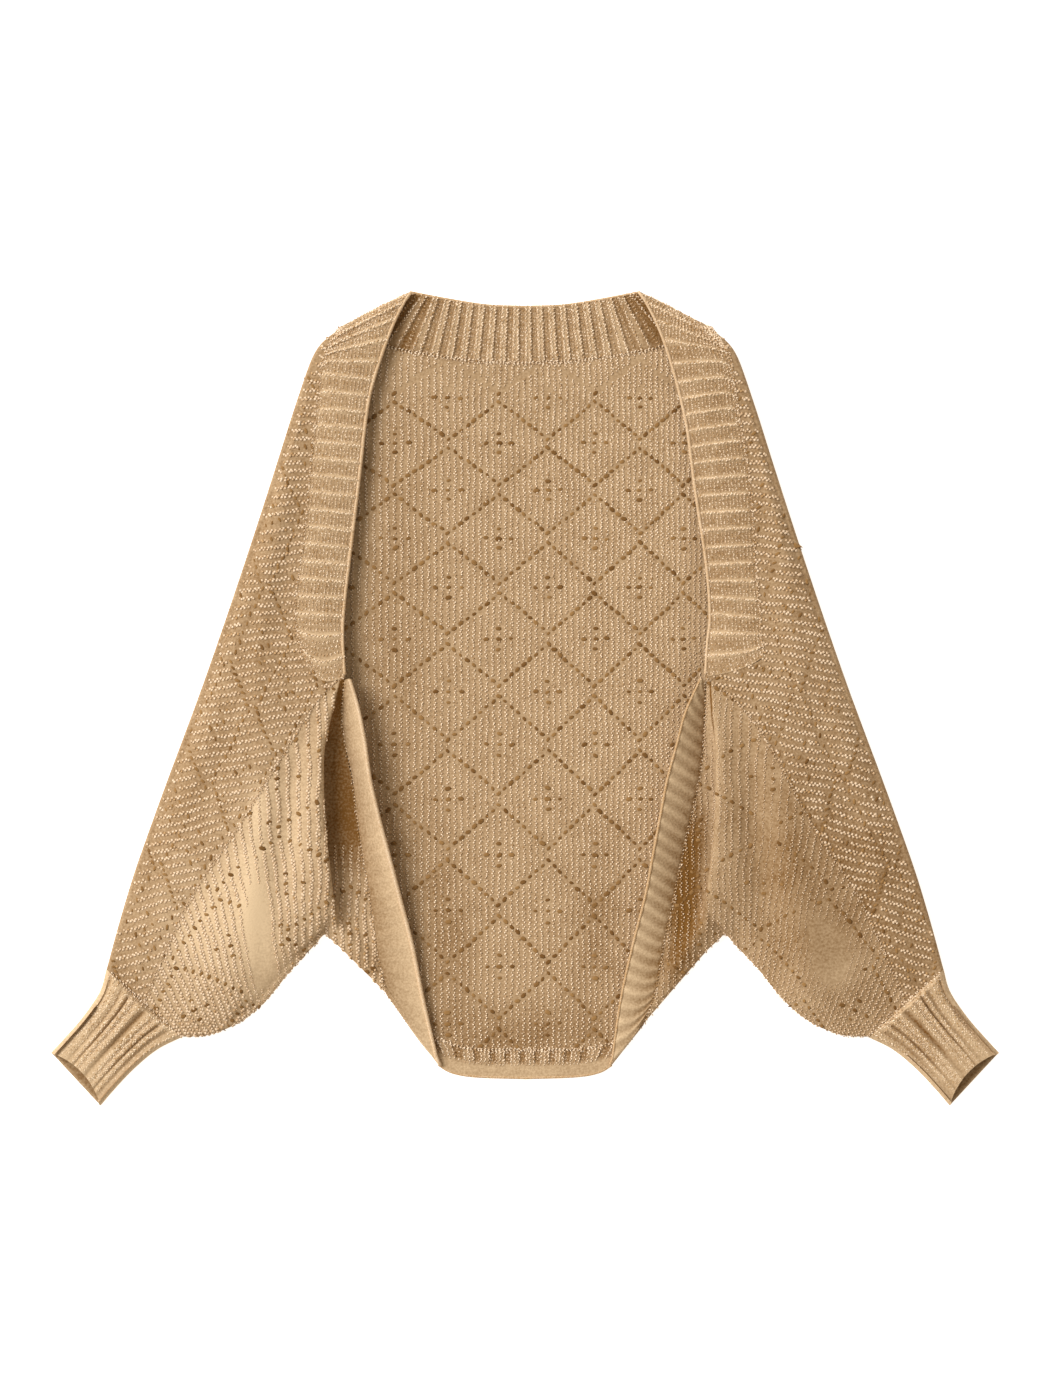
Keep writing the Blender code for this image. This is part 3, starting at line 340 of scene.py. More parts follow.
class Side:
    # the lines of one side of the garment, as if it were the right one

    def __init__(self, side):
        self.side = side
        self.arm = curveOf(armFold)
        self.underarm = curveOf(underarmFold)
        self.silhouette = np.vstack([self.arm, self.underarm[::-1]])
        self.sleeveSeam = curveOf(sleeveSeam[side])
        front, low = frontBandLines[side], sideBandLines[side]
        frontRows, lowRows = range(len(front["seamOut"])), range(len(low["seamOut"]))
        self.frontSeam, self.frontEdge = (
            smoothCurve(front[line + "Out"], front[line + "Up"], frontBandHeight[line], frontRows)
            for line in ("seam", "edge")
        )
        self.sideSeam, self.sideEdge = (
            smoothCurve(low[line + "Out"], low[line + "Up"], sideBandHeight[side][line], lowRows)
            for line in ("seam", "edge")
        )
        self.hollowFold = smoothCurve(low["foldOut"], low["foldUp"], foldCrest, lowRows)
        shoulderEnd = np.array([[front["edgeOut"][0], front["edgeUp"][0]]])
        self.armFold = self.arm[::-1]  # from the cuff up, so that the sleeve is on its left
        self.outline = np.vstack([self.armFold, shoulderEnd])
        self.bodyEdge = curveOf(bodyEdge)
        corner = self.sideSeam[-1:, :2]
        after = int(np.argmax(self.bodyEdge[:, 1] > corner[0, 1]))
        self.bodyFold = np.vstack([corner, self.bodyEdge[after:]])
        self.lowFold = np.vstack([self.bodyFold, self.underarm[1:]])


def atRows(line, rows):
    return np.column_stack([np.interp(rows, line[:, -1], line[:, k]) for k in range(3)])


def ribPlaces(ribs, share):
    # the foot, crest and foot of each rib, as shares of the way along a band
    step = np.arange(ribs)
    return np.sort(np.concatenate([step, step + share / 2, step + share, [ribs]])) / ribs


def inSeamPlane(normal, along):
    heading = unit(along * (1, 1, 0))
    return unit(normal * (0, 0, 1) + heading * (normal @ heading))


# Forms of the pieces, as grids of points with the directions that their faces look in.


def bandRows(path, fold, radius, middle, places):
    # row numbers along a line of a band, round the fold's steps and at places on the flat
    insets = [shareAtInset(path, fold, step * radius) for step in foldSteps]
    return [atShare(path, [share])[0, -1] for share in insets], atShare(middle, places)[:, -1]


def frontForm(lines, places, spread):
    # the plain face of the band down one front
    side, radius = lines.side, cloth["armRadius"]
    last = lines.frontSeam[-1, -1]
    middle = blend(lines.frontSeam, lines.frontEdge, 0.5)
    rows = np.empty((len(places) + foldEnd, len(spread)))
    base = np.empty(rows.shape + (3,))
    normals = np.zeros_like(base) + (0, 0, 1)
    for k, across in enumerate(spread):
        path = blend(lines.frontSeam, lines.frontEdge, across)
        foldRows, flat = bandRows(path, lines.outline, radius, middle, places)
        flat = flat + foldRows[-1] * (1 - places) ** 6
        rows[:, k] = np.concatenate([[0], foldRows[:-1], flat])
        seam, edge = atRows(lines.frontSeam, rows[:, k]), atRows(lines.frontEdge, rows[:, k])
        spot = blend(seam, edge, across)
        distance = nearestOn(lines.outline, spot)[0]
        plateau = spot[:, 2] + cloth["bandCrown"] * np.sin(np.pi * across)
        height, normal = roundFold(spot[:foldEnd], lines.outline, radius)
        spot[:, 2] = topHeight(distance, plateau, radius)
        spot[1:foldEnd, 2] = height[1:]
        spot[0, 2] = blend(radius - 0.6, cloth["curlFoot"], min(1, 2 * across))
        bow = bandTail[side] * np.sin(np.pi * across**0.8)
        spot[:, 1] -= bow * ease((rows[:, k] / last - 0.8) / 0.2)
        base[:, k] = spot
        normals[:foldEnd, k] = normal
    for k in range(1, foldEnd + 1):
        normals[k, 0] = inSeamPlane(normals[k, 0], base[1, 0] - base[foldEnd, 0])
    normals[0] = normals[1]
    base[0, 0, :2] = blend(base[1, 0, :2], base[1, 1, :2], 0.8)
    return base, normals, rows


def sideForm(lines, places, spread):
    # the plain face of the band down one lower side
    radius = cloth["bodyRadius"]
    last = lines.sideSeam[-1, -1]
    middle = blend(lines.sideSeam, lines.sideEdge, 0.5)
    rows = np.empty((len(places) + foldEnd, len(spread)))
    base = np.empty(rows.shape + (3,))
    for k, across in enumerate(spread):
        path = blend(lines.sideSeam, lines.sideEdge, across)[::-1]
        foldRows, flat = bandRows(path, lines.bodyEdge, radius, middle, places)
        flat -= (last - foldRows[-1]) * places**6
        rows[:, k] = np.concatenate([flat, foldRows[-2:0:-1], [last, last]])
        seam, edge = atRows(lines.sideSeam, rows[:, k]), atRows(lines.sideEdge, rows[:, k])
        base[:, k] = blend(seam, edge, across)
    slope = unit(base[:, -1] - base[:, 0])
    along = unit(np.gradient(base[:, 0], axis=0))
    face = unit(np.cross(slope, along))
    face *= np.sign(face[:, 2:])
    seamFace = unit(face + (0, 0, 1))
    normals = np.empty_like(base)
    turn = foldEnd + 1
    for k, across in enumerate(spread):
        normals[:, k] = unit(blend(seamFace, face, min(1, across / 0.4)))
        base[-2:, k, :2] = nearestOn(lines.bodyEdge, base[-2:, k])[1]
        height, normal = roundFold(base[-turn:, k], lines.bodyEdge, radius)
        base[-turn:, k, 2], normals[-turn:, k] = height, normal
        base[-1, k, 2] = cloth["curlFoot"]
    for k in range(-turn, -1):
        normals[k, 0] = inSeamPlane(normals[k, 0], base[-turn, 0] - base[-2, 0])
    normals[-1] = normals[-2]
    return base, normals, rows


def alongLines(points, strips):
    # the sum at plan points of soft strips that each run from one place to another
    total = np.zeros(len(points))
    for *places, width, height in strips:
        ends = np.array(places, float).reshape(2, 2)
        distance, foot, _ = nearestOn(ends, points)
        along = np.linalg.norm(foot - ends[0], axis=1) / np.linalg.norm(ends[1] - ends[0])
        taper = np.sin(np.pi * np.clip(0.15 + 0.7 * along, 0, 1))
        total += height * taper * np.exp(-((distance / width) ** 2))
    return total


def patch(start, end, first, second, shares):
    # plan points between two rows of points, led at both ends by a point of their side lines
    across = np.linspace(0, 1, len(start))[:, None]
    firstOff = first - blend(start[0], end[0], shares[0])
    secondOff = second - blend(start[-1], end[-1], shares[-1])
    return blend(start, end, shares[:, None]) + blend(firstOff, secondOff, across)


def foldColumns(line, travel, fade, radius, known, cuffLine, top):
    # the columns beside a fold, for all rows of the sleeve, from its edge inward
    points, normals = [], []
    offsets = nearestOn(line, known)[2] - travel[0]
    for step, offset, first in zip(foldSteps[1:], offsets, known):
        plan, outward = beside(line, travel + offset * fade, step * radius)
        lastShare = step * radius[-1] / lengths(cuffLine)[-1]
        plan[0], plan[-1] = first[:2], atShare(cuffLine, [lastShare])[0]
        height, bend, rise = foldHeight(step * radius, radius, top)
        points.append(np.column_stack([plan, height]))
        normals.append(np.column_stack([outward * bend[:, None], rise]))
    return points, normals


def sleeveForm(lines, front, low):
    # one sleeve as a tube of coarse rings, from the rim to the cuff seam
    side = lines.side
    frontPoints, frontNormals = front
    lowPoints, lowNormals, lowRows = low
    armSize, bodySize = cloth["armRadius"], cloth["bodyRadius"]
    hollow = len(hollowSection["span"])
    rows = hollow + cloth["sleeveRows"]
    past = np.append(np.zeros(hollow), np.arange(1, cloth["sleeveRows"] + 1) / cloth["sleeveRows"])
    step = np.arange(rows) / (hollow - 1)

    armShare, seamShare = (
        np.append(hollowSection[line], blend(hollowSection[line][-1], 1, past[hollow:]))
        for line in ("armFold", "sleeveSeam")
    )
    armTravel = lengths(lines.armFold)[-1] * (1 - armShare)
    bodyLength, lowLength = lengths(lines.bodyFold)[-1], lengths(lines.lowFold)[-1]
    spread = np.append(hollowSection["spread"], np.zeros(cloth["sleeveRows"]))
    spread[0] = bodyLength
    lowTravel = bodyLength - spread + past * (lowLength - bodyLength)
    armRadius = np.full(rows, armSize)
    lowRadius = blend(bodySize, armSize, ease(step - 0.8))
    seam = atShare(lines.sleeveSeam, seamShare)
    arm, armOut = beside(lines.armFold, armTravel, 0)
    edge, edgeOut = beside(lines.lowFold, lowTravel, 0)
    sideLine = np.array([edge[0], arm[0]])
    cuffLine = np.array([edge[-1], arm[-1]])
    armKnown = pointsAtInsets(sideLine[::-1], lines.armFold, foldSteps[1:] * armSize)
    lowKnown = pointsAtInsets(sideLine, lines.lowFold, foldSteps[1:] * bodySize)
    armLines = (lines.armFold, armTravel, 1 - armShare, armRadius)
    lowLines = (lines.lowFold, lowTravel, spread / bodyLength, lowRadius)
    lowEnd = lowPoints[-2 : -foldEnd - 1 : -1]
    armTop, armTopOut = foldColumns(*armLines, frontPoints[1:foldEnd], cuffLine[::-1], True)
    armUnder, armUnderOut = foldColumns(*armLines, armKnown, cuffLine[::-1], False)
    lowTop, lowTopOut = foldColumns(*lowLines, lowEnd, cuffLine, True)
    lowUnder, lowUnderOut = foldColumns(*lowLines, lowKnown, cuffLine, False)

    # The upper layer, row by row: from the arm's fold to the sleeve seam, then to the lower fold.
    mouth = frontPoints[foldEnd - 1 :]
    cuffTop = blend(armTop[-1][-1, :2], seam[-1], np.linspace(0, 1, len(mouth))[:, None])
    distance = nearestOn(lines.silhouette, mouth)[0]
    reach = 1 - np.exp(-np.maximum(distance - armSize, 0) / cloth["edgeReach"])
    lowest = 2 * armSize
    least = sleeveLoft["leastReach"]
    risen = lowest + (mouth[:, 2] - lowest) / reach.clip(least)
    loose = np.where(reach > least, risen, sleeveLoft["lowHeight"])
    knots = lowPoints[:-foldEnd]
    fold = atRows(lines.hollowFold, lowRows[:-foldEnd])
    deep, hang = (
        ease((fold[:, 2] - knots[:, 2] - start) / span)
        for start, span in (sleeveLoft["deep"], sleeveLoft["hang"])
    )
    behind = unit(np.gradient(fold[:, :2], axis=0))[:, ::-1] * (-1, 1)
    room = np.linalg.norm(fold[:, :2] - knots[:, :2], axis=1)
    cuffLow = blend(seam[-1], lowTop[-1][-1, :2], np.linspace(0, 1, len(knots) + 2)[:, None])
    upper, lower = [], []
    for j in range(rows):
        shares = blend(armShare[j], seamShare[j], np.linspace(0, 1, len(mouth)))
        path = patch(mouth[:, :2], cuffTop, armTop[-1][j, :2], seam[j], shares)
        distance, foot, _ = nearestOn(lines.arm, path)
        clear = armSize + sleeveLoft["apart"] * np.arange(len(path))
        pushed = foot + unit(path - foot) * clear[:, None]
        path = np.where((distance < clear)[:, None], pushed, path)
        crown = blend(loose, cloth["crown"], ease(shares / sleeveLoft["risen"]))
        plateau = blend(crown, cloth["cuffSeamHeight"], ease(2 * shares - 1))
        distance = nearestOn(lines.silhouette, path)[0]
        height = topHeight(distance, plateau, armSize)
        fade = ease(shares / sleeveLoft["creased"]) * (1 - shares**4)
        fade = fade * np.clip(distance / cloth["creaseFade"], 0, 1)
        height += alongLines(path, softCreases[side]) * fade
        upper.append(np.column_stack([path, height])[1:])
        if j < hollow:
            flatSpan = np.maximum(step[j], 1 - hollowSection["spread"][j] / room)
            span = blend(flatSpan, hollowSection["span"][j], deep)[:, None]
            back = hang * hollowSection["tuck"][j] * np.clip(room / sleeveLoft["hangRoom"], 0, 1)
            back = back + deep * hollowSection["round"][j]
            plan = blend(knots[:, :2], fold[:, :2], span) + behind * back[:, None]
            rise = blend(ease(span[:, 0]), hollowSection["rise"][j], deep)
            height = blend(knots[:, 2], fold[:, 2], rise)
            crest = np.vstack([seam[j], plan, lowTop[-1][j, :2]])
        else:
            shares = np.full(len(crest), past[j])
            plan = patch(crest, cuffLow, seam[j], lowTop[-1][j, :2], shares)[1:-1]
            distance = nearestOn(lines.silhouette, plan)[0]
            plateau = blend(cloth["crown"], cloth["cuffSeamHeight"], ease(2 * past[j] - 1))
            fade = (1 - past[j] ** 4) * np.clip(distance / cloth["creaseFade"], 0, 1)
            formed = topHeight(distance, plateau, armSize)
            formed = formed + alongLines(plan, softCreases[side]) * fade
            height = blend(fold[:, 2], formed, ease(past[j] / sleeveLoft["risen"]))
        lower.append(np.column_stack([plan, height]))
    upper, lower = np.array(upper), np.array(lower)
    upper[0] = mouth[1:]

    def columns(points):
        return np.stack(points, axis=1)

    def level(plan, height):
        return np.column_stack([plan, height])[:, None]

    under = np.array([[0.25], [0.5], [0.75]])[None]
    under = blend(lowUnder[-1][:, None], armUnder[-1][:, None], under)
    parts = [level(arm, armRadius), columns(armTop), upper, lower, columns(lowTop[::-1])]
    parts += [level(edge, lowRadius), columns(lowUnder), under, columns(armUnder[::-1])]
    rings = np.concatenate(parts, axis=1)
    flat = np.zeros(rows)
    known = [level(armOut, flat), columns(armTopOut), upper * np.nan, lower * np.nan]
    known += [columns(lowTopOut[::-1]), level(edgeOut, flat), columns(lowUnderOut)]
    known = np.concatenate(known + [under * 0 + (0, 0, -1), columns(armUnderOut[::-1])], axis=1)
    along = np.gradient(rings, axis=0)
    across = np.roll(rings, -1, axis=1) - np.roll(rings, 1, axis=1)
    normals = unit(np.cross(across, along))
    if normals[:, -foldEnd, 2].mean() > 0:
        normals = -normals
    given = ~np.isnan(known[..., 0])
    normals[given] = known[given]
    upCount = len(frontPoints)
    normals[0, :upCount] = frontNormals
    normals[0, upCount : upCount + len(lowPoints)] = lowNormals
    normals[-1] = ringPlaneNormals(rings[-1])
    seamColumn = foldEnd - 1 + len(mouth) - 1
    lowColumn = seamColumn + len(knots) + 1  # where the lower fold begins to turn
    return rings, normals, seamColumn, lowColumn


def ringPlaneNormals(ring):
    # outward normals of a flattened ring, in the upright plane that it lies in
    low, high = ring[:, :2][ring[:, 0].argmin()], ring[:, :2][ring[:, 0].argmax()]
    sideways = unit(high - low)
    flat = np.column_stack([(ring[:, :2] - low) @ sideways, ring[:, 2]])
    step = np.roll(flat, -1, axis=0) - np.roll(flat, 1, axis=0)
    out = unit(np.column_stack([step[:, 1], -step[:, 0]]))
    if (out * (flat - flat.mean(axis=0))).sum() < 0:
        out = -out
    return np.column_stack([out[:, :1] * sideways, out[:, 1]])


def cuffForm(seamRing, seamNormals, along, places):
    # one cuff as a flattened tube, from the sleeve's last ring to its open end
    names = ("outerOut", "outerUp", "innerOut", "innerUp")
    table = smoothCurve(*(cuffLines[name] for name in names))
    middle = (table[:, :2] + table[:, 2:]) / 2
    travel = np.interp(along * lengths(middle)[-1], lengths(middle), np.arange(len(table)))
    sides = np.column_stack([np.interp(travel, np.arange(len(table)), column) for column in table.T])
    firstWidth = np.linalg.norm(sides[0, 2:] - sides[0, :2])
    radius = cloth["armRadius"]
    inset = foldSteps * radius
    flat = inset[-1] + (firstWidth - 2 * inset[-1]) * places
    top = np.concatenate([inset[:-1], flat, firstWidth - inset[-2::-1]]) / firstWidth
    under = firstWidth * np.linspace(0.9, 0.1, 17)
    bottom = np.concatenate([firstWidth - inset[1:], under, inset[:0:-1]]) / firstWidth
    share = np.concatenate([top, bottom])
    isTop = np.arange(len(share)) < len(top)
    rings, normals = [], []
    for j, (outer, inner) in enumerate(zip(sides[:, :2], sides[:, 2:])):
        width = np.linalg.norm(inner - outer)
        axis = unit(np.array([inner[1] - outer[1], outer[0] - inner[0]]))
        height = blend(cloth["cuffSeamHeight"], cloth["cuffEndHeight"], along[j])
        near = np.minimum(share, 1 - share) * firstWidth
        near = np.where(near < radius, near, near * width / firstWidth)
        bend = np.clip(1 - near / radius, 0, 1)
        curve = radius * np.sqrt(1 - bend * bend)
        level = np.where(near < radius, radius + curve, topHeight(near, height, radius))
        level = np.where(isTop, level, radius - curve)
        across = np.where(near < radius, near, 0) / width
        across = np.where(near < radius, np.where(share < 0.5, across, 1 - across), share)
        plan = blend(outer, inner, across[:, None])
        setback = cloth["cuffSetback"] * (1 - (2 * share - 1) ** 2) * along[j] ** 4 * isTop
        rings.append(np.column_stack([plan + axis * setback[:, None] * np.sign(axis[1]), level]))
        normals.append(ringPlaneNormals(np.column_stack([plan, level])))
    rings, normals = np.array(rings), np.array(normals)
    rings[0], normals[0] = onRing(seamRing, seamNormals, rings[0, :, :2], len(top))
    return rings, normals, len(top)


def onRing(ring, normals, plan, topCount):
    # points and normals of a sleeve's last ring below the given plan points
    start, end = ring[:, :2][ring[:, 0].argmax()], ring[:, :2][ring[:, 0].argmin()]
    sideways = unit(end - start)
    where, wanted = (ring[:, :2] - start) @ sideways, (plan - start) @ sideways
    turn = int(where.argmax())
    values = np.column_stack([ring, normals])
    found = []
    halves = (np.arange(turn + 1), np.append(np.arange(turn, len(ring)), 0)[::-1])
    for chosen, spots in zip(halves, (wanted[:topCount], wanted[topCount:])):
        columns = [np.interp(spots, where[chosen], column[chosen]) for column in values.T]
        found.append(np.column_stack(columns))
    found = np.vstack(found)
    return found[:, :3], unit(found[:, 3:])


def mirrored(table):
    half = curveOf(table)
    left = half[::-1] * (-1, 1)
    return np.vstack([left[:-1], half])


def neckLines(places):
    spread = 2 * places - 1
    edgeLine, seamLine = mirrored(neckEdge), mirrored(neckSeam)
    halfEdge, halfSeam = neckEdge["out"][-1], neckSeam["out"][-1]
    seamOut = blend(halfEdge * 1.14 * spread, halfSeam * np.sign(spread), np.abs(spread) ** 9)
    edge = np.column_stack([halfEdge * spread, np.interp(halfEdge * spread, *edgeLine.T)])
    return np.column_stack([seamOut, np.interp(seamOut, *seamLine.T)]), edge


def hemLines(places):
    spread = 2 * places - 1
    half = hemEdge["out"][-1]
    edge = np.column_stack([half * spread, np.interp(half * spread, *mirrored(hemEdge).T)])
    seam = np.column_stack([half * 1.04 * spread, np.full(len(spread), hemSeamUp)])
    for side, sign in (("left", -1), ("right", 1)):
        corner = sides[side].sideSeam[-1, :2] * (sign, 1)
        toward = np.where(spread * sign > 0, np.abs(spread), 0)[:, None]
        seam = blend(seam, corner, toward**7)
    return seam, edge


# Dense grids and their meshes.


def spline(points, where, closed=False):
    # a smooth curve through rows of points, read at row numbers with fractions
    if closed:
        ends = (points[-1:], points[:2])
    else:
        ends = (2 * points[:1] - points[1:2], 2 * points[-1:] - points[-2:-1])
    padded = np.concatenate([ends[0], points, ends[1]])
    row = np.minimum(where.astype(int), len(padded) - 4)
    t = (where - row)[:, None, None]
    before, start, end, after = (padded[row + k] for k in range(4))
    gaps = [
        np.sqrt(np.linalg.norm(b - a, axis=2, keepdims=True)).clip(1e-3)
        for a, b in ((before, start), (start, end), (end, after))
    ]
    first, second = (start - before) / gaps[0], (end - start) / gaps[1]
    third = (after - end) / gaps[2]
    leave = first - (end - before) / (gaps[0] + gaps[1]) + second
    arrive = second - (after - start) / (gaps[1] + gaps[2]) + third
    leave, arrive = leave * gaps[1], arrive * gaps[1]
    square, cube = t * t, t * t * t
    return (
        (2 * cube - 3 * square + 1) * start
        + (cube - 2 * square + t) * leave
        + (3 * square - 2 * cube) * end
        + (cube - square) * arrive
    )


def finer(grid, spacing, closed=False):
    # row numbers with fractions that bring a grid's rows about this close together
    loop = np.concatenate([grid, grid[:1]]) if closed else grid
    gaps = np.linalg.norm(np.diff(loop, axis=0), axis=2)
    counts = np.maximum(1, np.ceil(np.percentile(gaps, 80, axis=1) / spacing)).astype(int)
    where = np.concatenate([k + np.arange(count) / count for k, count in enumerate(counts)])
    return where if closed else np.append(where, len(grid) - 1.0)


def gridNormals(grid, closed, like):
    along = np.gradient(grid, axis=0)
    if closed:
        across = np.roll(grid, -1, axis=1) - np.roll(grid, 1, axis=1)
    else:
        across = np.gradient(grid, axis=1)
    normals = unit(np.cross(across, along))
    return np.where((normals * like).sum(axis=2, keepdims=True) < 0, -normals, normals)


def addObject(name, mesh):
    thing = bpy.data.objects.new(name, mesh)
    bpy.context.scene.collection.objects.link(thing)
    return thing


def newMesh(name, points, faces=()):
    mesh = bpy.data.meshes.new(name)
    mesh.from_pydata((points.reshape(-1, 3) * toMetres).tolist(), [], list(faces))
    return mesh


def markTone(mesh, values):
    # how light the yarn is at each point
    tone = mesh.attributes.new("tone", "FLOAT", "POINT")
    tone.data.foreach_set("value", np.ravel(values).astype(float))


def wallMesh(name, outer, inner, tone, ring=False):
    # a closed wall between two grids of points, indexed along and across
    rows, columns = outer.shape[:2]
    count = rows * columns
    number = np.arange(count).reshape(rows, columns)
    if ring:
        number = np.hstack([number, number[:, :1]])
    a, b, c, d = number[:-1, :-1], number[:-1, 1:], number[1:, 1:], number[1:, :-1]
    faces = [np.stack([a, b, c, d], 2), np.stack([a, d, c, b], 2) + count]
    rims = [(number[0, 1:], number[0, :-1]), (number[-1, :-1], number[-1, 1:])]
    if not ring:
        rims += [(number[:-1, 0], number[1:, 0]), (number[1:, -1], number[:-1, -1])]
    rims = [np.column_stack([p, q, q + count, p + count]) for p, q in rims]
    quads = np.vstack([face.reshape(-1, 4) for face in faces] + rims)
    points = np.vstack([outer.reshape(-1, 3), inner.reshape(-1, 3)])
    mesh = newMesh(name, points, quads.tolist())
    corners = points[quads]
    volume = (corners[:, 0] * np.cross(corners[:, 1], corners[:, 2])).sum()
    volume += (corners[:, 0] * np.cross(corners[:, 2], corners[:, 3])).sum()
    if volume < 0:
        mesh.flip_normals()
    tones = tone if isinstance(tone, tuple) else (tone, tone)
    markTone(mesh, [tone + np.zeros((rows, columns)) for tone in tones])
    mesh.shade_smooth()
    mesh.set_sharp_from_angle(angle=cloth["sharpAngle"])
    return addObject(name, mesh)


# Knit stitches. Each is a pair of leaning yarn legs, and each place in the pattern is a pair of
# whole numbers: the column of stitches and the course along it.

legStyles = {
    # half sizes of a leg, its place beside the column's middle, lean, height, tilt and tone, and
    # how far one leg lies past the other
    "lace": {
        "size": (0.8, 0.78, 1.0), "off": 0.58, "lean": 0.6, "lift": 0.45, "tilt": 0.15, "tone": 0.95,
        "step": 0.92,
    },
    "sleeve": {
        "size": (1.55, 0.7, 1.6), "off": 0.8, "lean": 0.5, "lift": 0.28, "tilt": 0.08, "tone": 0.76,
        "step": 0.92,
    },
    "rib": {
        "size": (0.7, 0.62, 1.5), "off": 0.4, "lean": 0.7, "lift": 0.3, "tilt": 0.25, "tone": 0.76,
        "step": 0.8,
    },
    # purl legs sit low between the ribs and take a darker tone, which is painted shade
    "purl": {"size": (0.62, 0.5, 1.25), "off": 0.75, "lean": 0.9, "lift": 0.1, "tilt": 0.1, "tone": 0.5},
    "chain": {"size": (0.65, 0.6, 1.7), "off": 0.7, "lean": 0.6, "lift": 0.3, "tilt": 0.1, "tone": 0.7},
    "pit": {"size": (1, 1, 1), "off": 0.0, "lean": 1.57, "lift": 0.0, "tilt": 0.0, "tone": 0.5},
}
mostSteps = 8  # of the pattern across one triangle of a grid


def latticeSpots(points, normals, coords, marks=None, shades=None):
    # where whole numbers of the pattern fall on a grid, with the directions of its courses
    def triangles(grid):
        a, b, c, d = grid[:-1, :-1], grid[:-1, 1:], grid[1:, 1:], grid[1:, :-1]
        both = np.stack([np.stack([a, b, c], 2), np.stack([a, c, d], 2)])
        return both.reshape(-1, 3, grid.shape[-1])

    both = np.zeros(points.shape[:2] + (2,))
    for k, values in enumerate((marks, shades)):
        if values is not None:
            both[..., k] = values
    place3, normal3, coord3 = triangles(points), triangles(normals), triangles(coords)
    mark3 = triangles(both)
    lowest, highest = np.ceil(coord3.min(axis=1)), np.floor(coord3.max(axis=1))
    first, second = coord3[:, 1] - coord3[:, 0], coord3[:, 2] - coord3[:, 0]
    area = first[:, 0] * second[:, 1] - first[:, 1] * second[:, 0]
    safe = np.where(np.abs(area) < 1e-9, 1, area)
    edgeOne, edgeTwo = place3[:, 1] - place3[:, 0], place3[:, 2] - place3[:, 0]
    side = (edgeOne * second[:, 1:] - edgeTwo * first[:, 1:]) / safe[:, None]
    along = (edgeTwo * first[:, :1] - edgeOne * second[:, :1]) / safe[:, None]
    found = []
    spans = np.minimum(highest - lowest, mostSteps).max(axis=0).astype(int) + 1
    for i in range(spans[0]):
        for j in range(spans[1]):
            cell = lowest + (i, j)
            reach = cell - coord3[:, 0]
            s = (reach[:, 0] * second[:, 1] - reach[:, 1] * second[:, 0]) / safe
            t = (first[:, 0] * reach[:, 1] - first[:, 1] * reach[:, 0]) / safe
            inside = (cell <= highest).all(axis=1) & (np.abs(area) > 1e-9)
            inside &= (s >= 0) & (t >= 0) & (s + t <= 1)
            k = np.flatnonzero(inside)
            s, t = s[k, None], t[k, None]
            place = place3[k, 0] + s * edgeOne[k] + t * edgeTwo[k]
            normal = unit(normal3[k, 0] * (1 - s - t) + normal3[k, 1] * s + normal3[k, 2] * t)
            mark = mark3[k, 0] * (1 - s - t) + mark3[k, 1] * s + mark3[k, 2] * t
            found.append(np.hstack([place, normal, side[k], along[k], cell[k], mark]))
    return np.vstack(found)


def inSight(spots):
    # those that aren't against the floor or on a face that looks down
    return spots[(spots[:, 5] > yarn["leastFacing"]) & (spots[:, 2] > yarn["leastHeight"])]


def legsAt(spots, style, scale=1.0, tone=0.0):
    # two yarn legs for each spot: rows of centre, turn, size and tone
    look = legStyles[style]
    sizes = np.zeros((len(spots), 2)) + np.column_stack(np.broadcast_arrays(scale, tone))
    spots = inSight(np.hstack([spots, sizes]))
    place, normal, side, along = (spots[:, k : k + 3] for k in (0, 3, 6, 9))
    scale, tone = spots[:, -2:-1], spots[:, -1:] + look["tone"]
    along = unit(along - normal * (along * normal).sum(axis=1, keepdims=True))
    across = np.cross(along, normal)
    rows = []
    for sign in (-1, 1) if look["off"] else (1,):
        flat = along * np.cos(look["lean"]) + across * sign * np.sin(look["lean"])
        heading = flat * np.cos(look["tilt"]) + normal * np.sin(look["tilt"])
        upright = normal * np.cos(look["tilt"]) - flat * np.sin(look["tilt"])
        centre = place + across * sign * look["off"] * scale + normal * look["lift"] * scale
        centre = centre + along * sign * look.get("step", 0)
        sideways = np.cross(upright, heading)
        turn = np.column_stack([
            np.arctan2(upright[:, 2], heading[:, 2]),
            -np.arcsin(np.clip(sideways[:, 2], -1, 1)),
            np.arctan2(sideways[:, 1], sideways[:, 0]),
        ])
        rows.append(np.hstack([centre, turn, np.array(look["size"]) * scale, tone]))
    return np.vstack(rows)


def chainSpots(path, normals, pitch):
    # one column of stitches along a line
    step = np.linalg.norm(np.diff(path, axis=0), axis=1)
    travel = np.append(0, np.cumsum(step))
    where = np.arange(pitch / 2, travel[-1], pitch)
    rows = np.hstack([path, unit(normals), unit(np.gradient(path, axis=0))])
    found = np.column_stack([np.interp(where, travel, column) for column in rows.T])
    place, normal, along = found[:, :3], unit(found[:, 3:6]), unit(found[:, 6:])
    number = np.zeros((len(where), 4))
    return np.hstack([place, normal, np.cross(along, normal), along, number])


# Shader groups and materials.

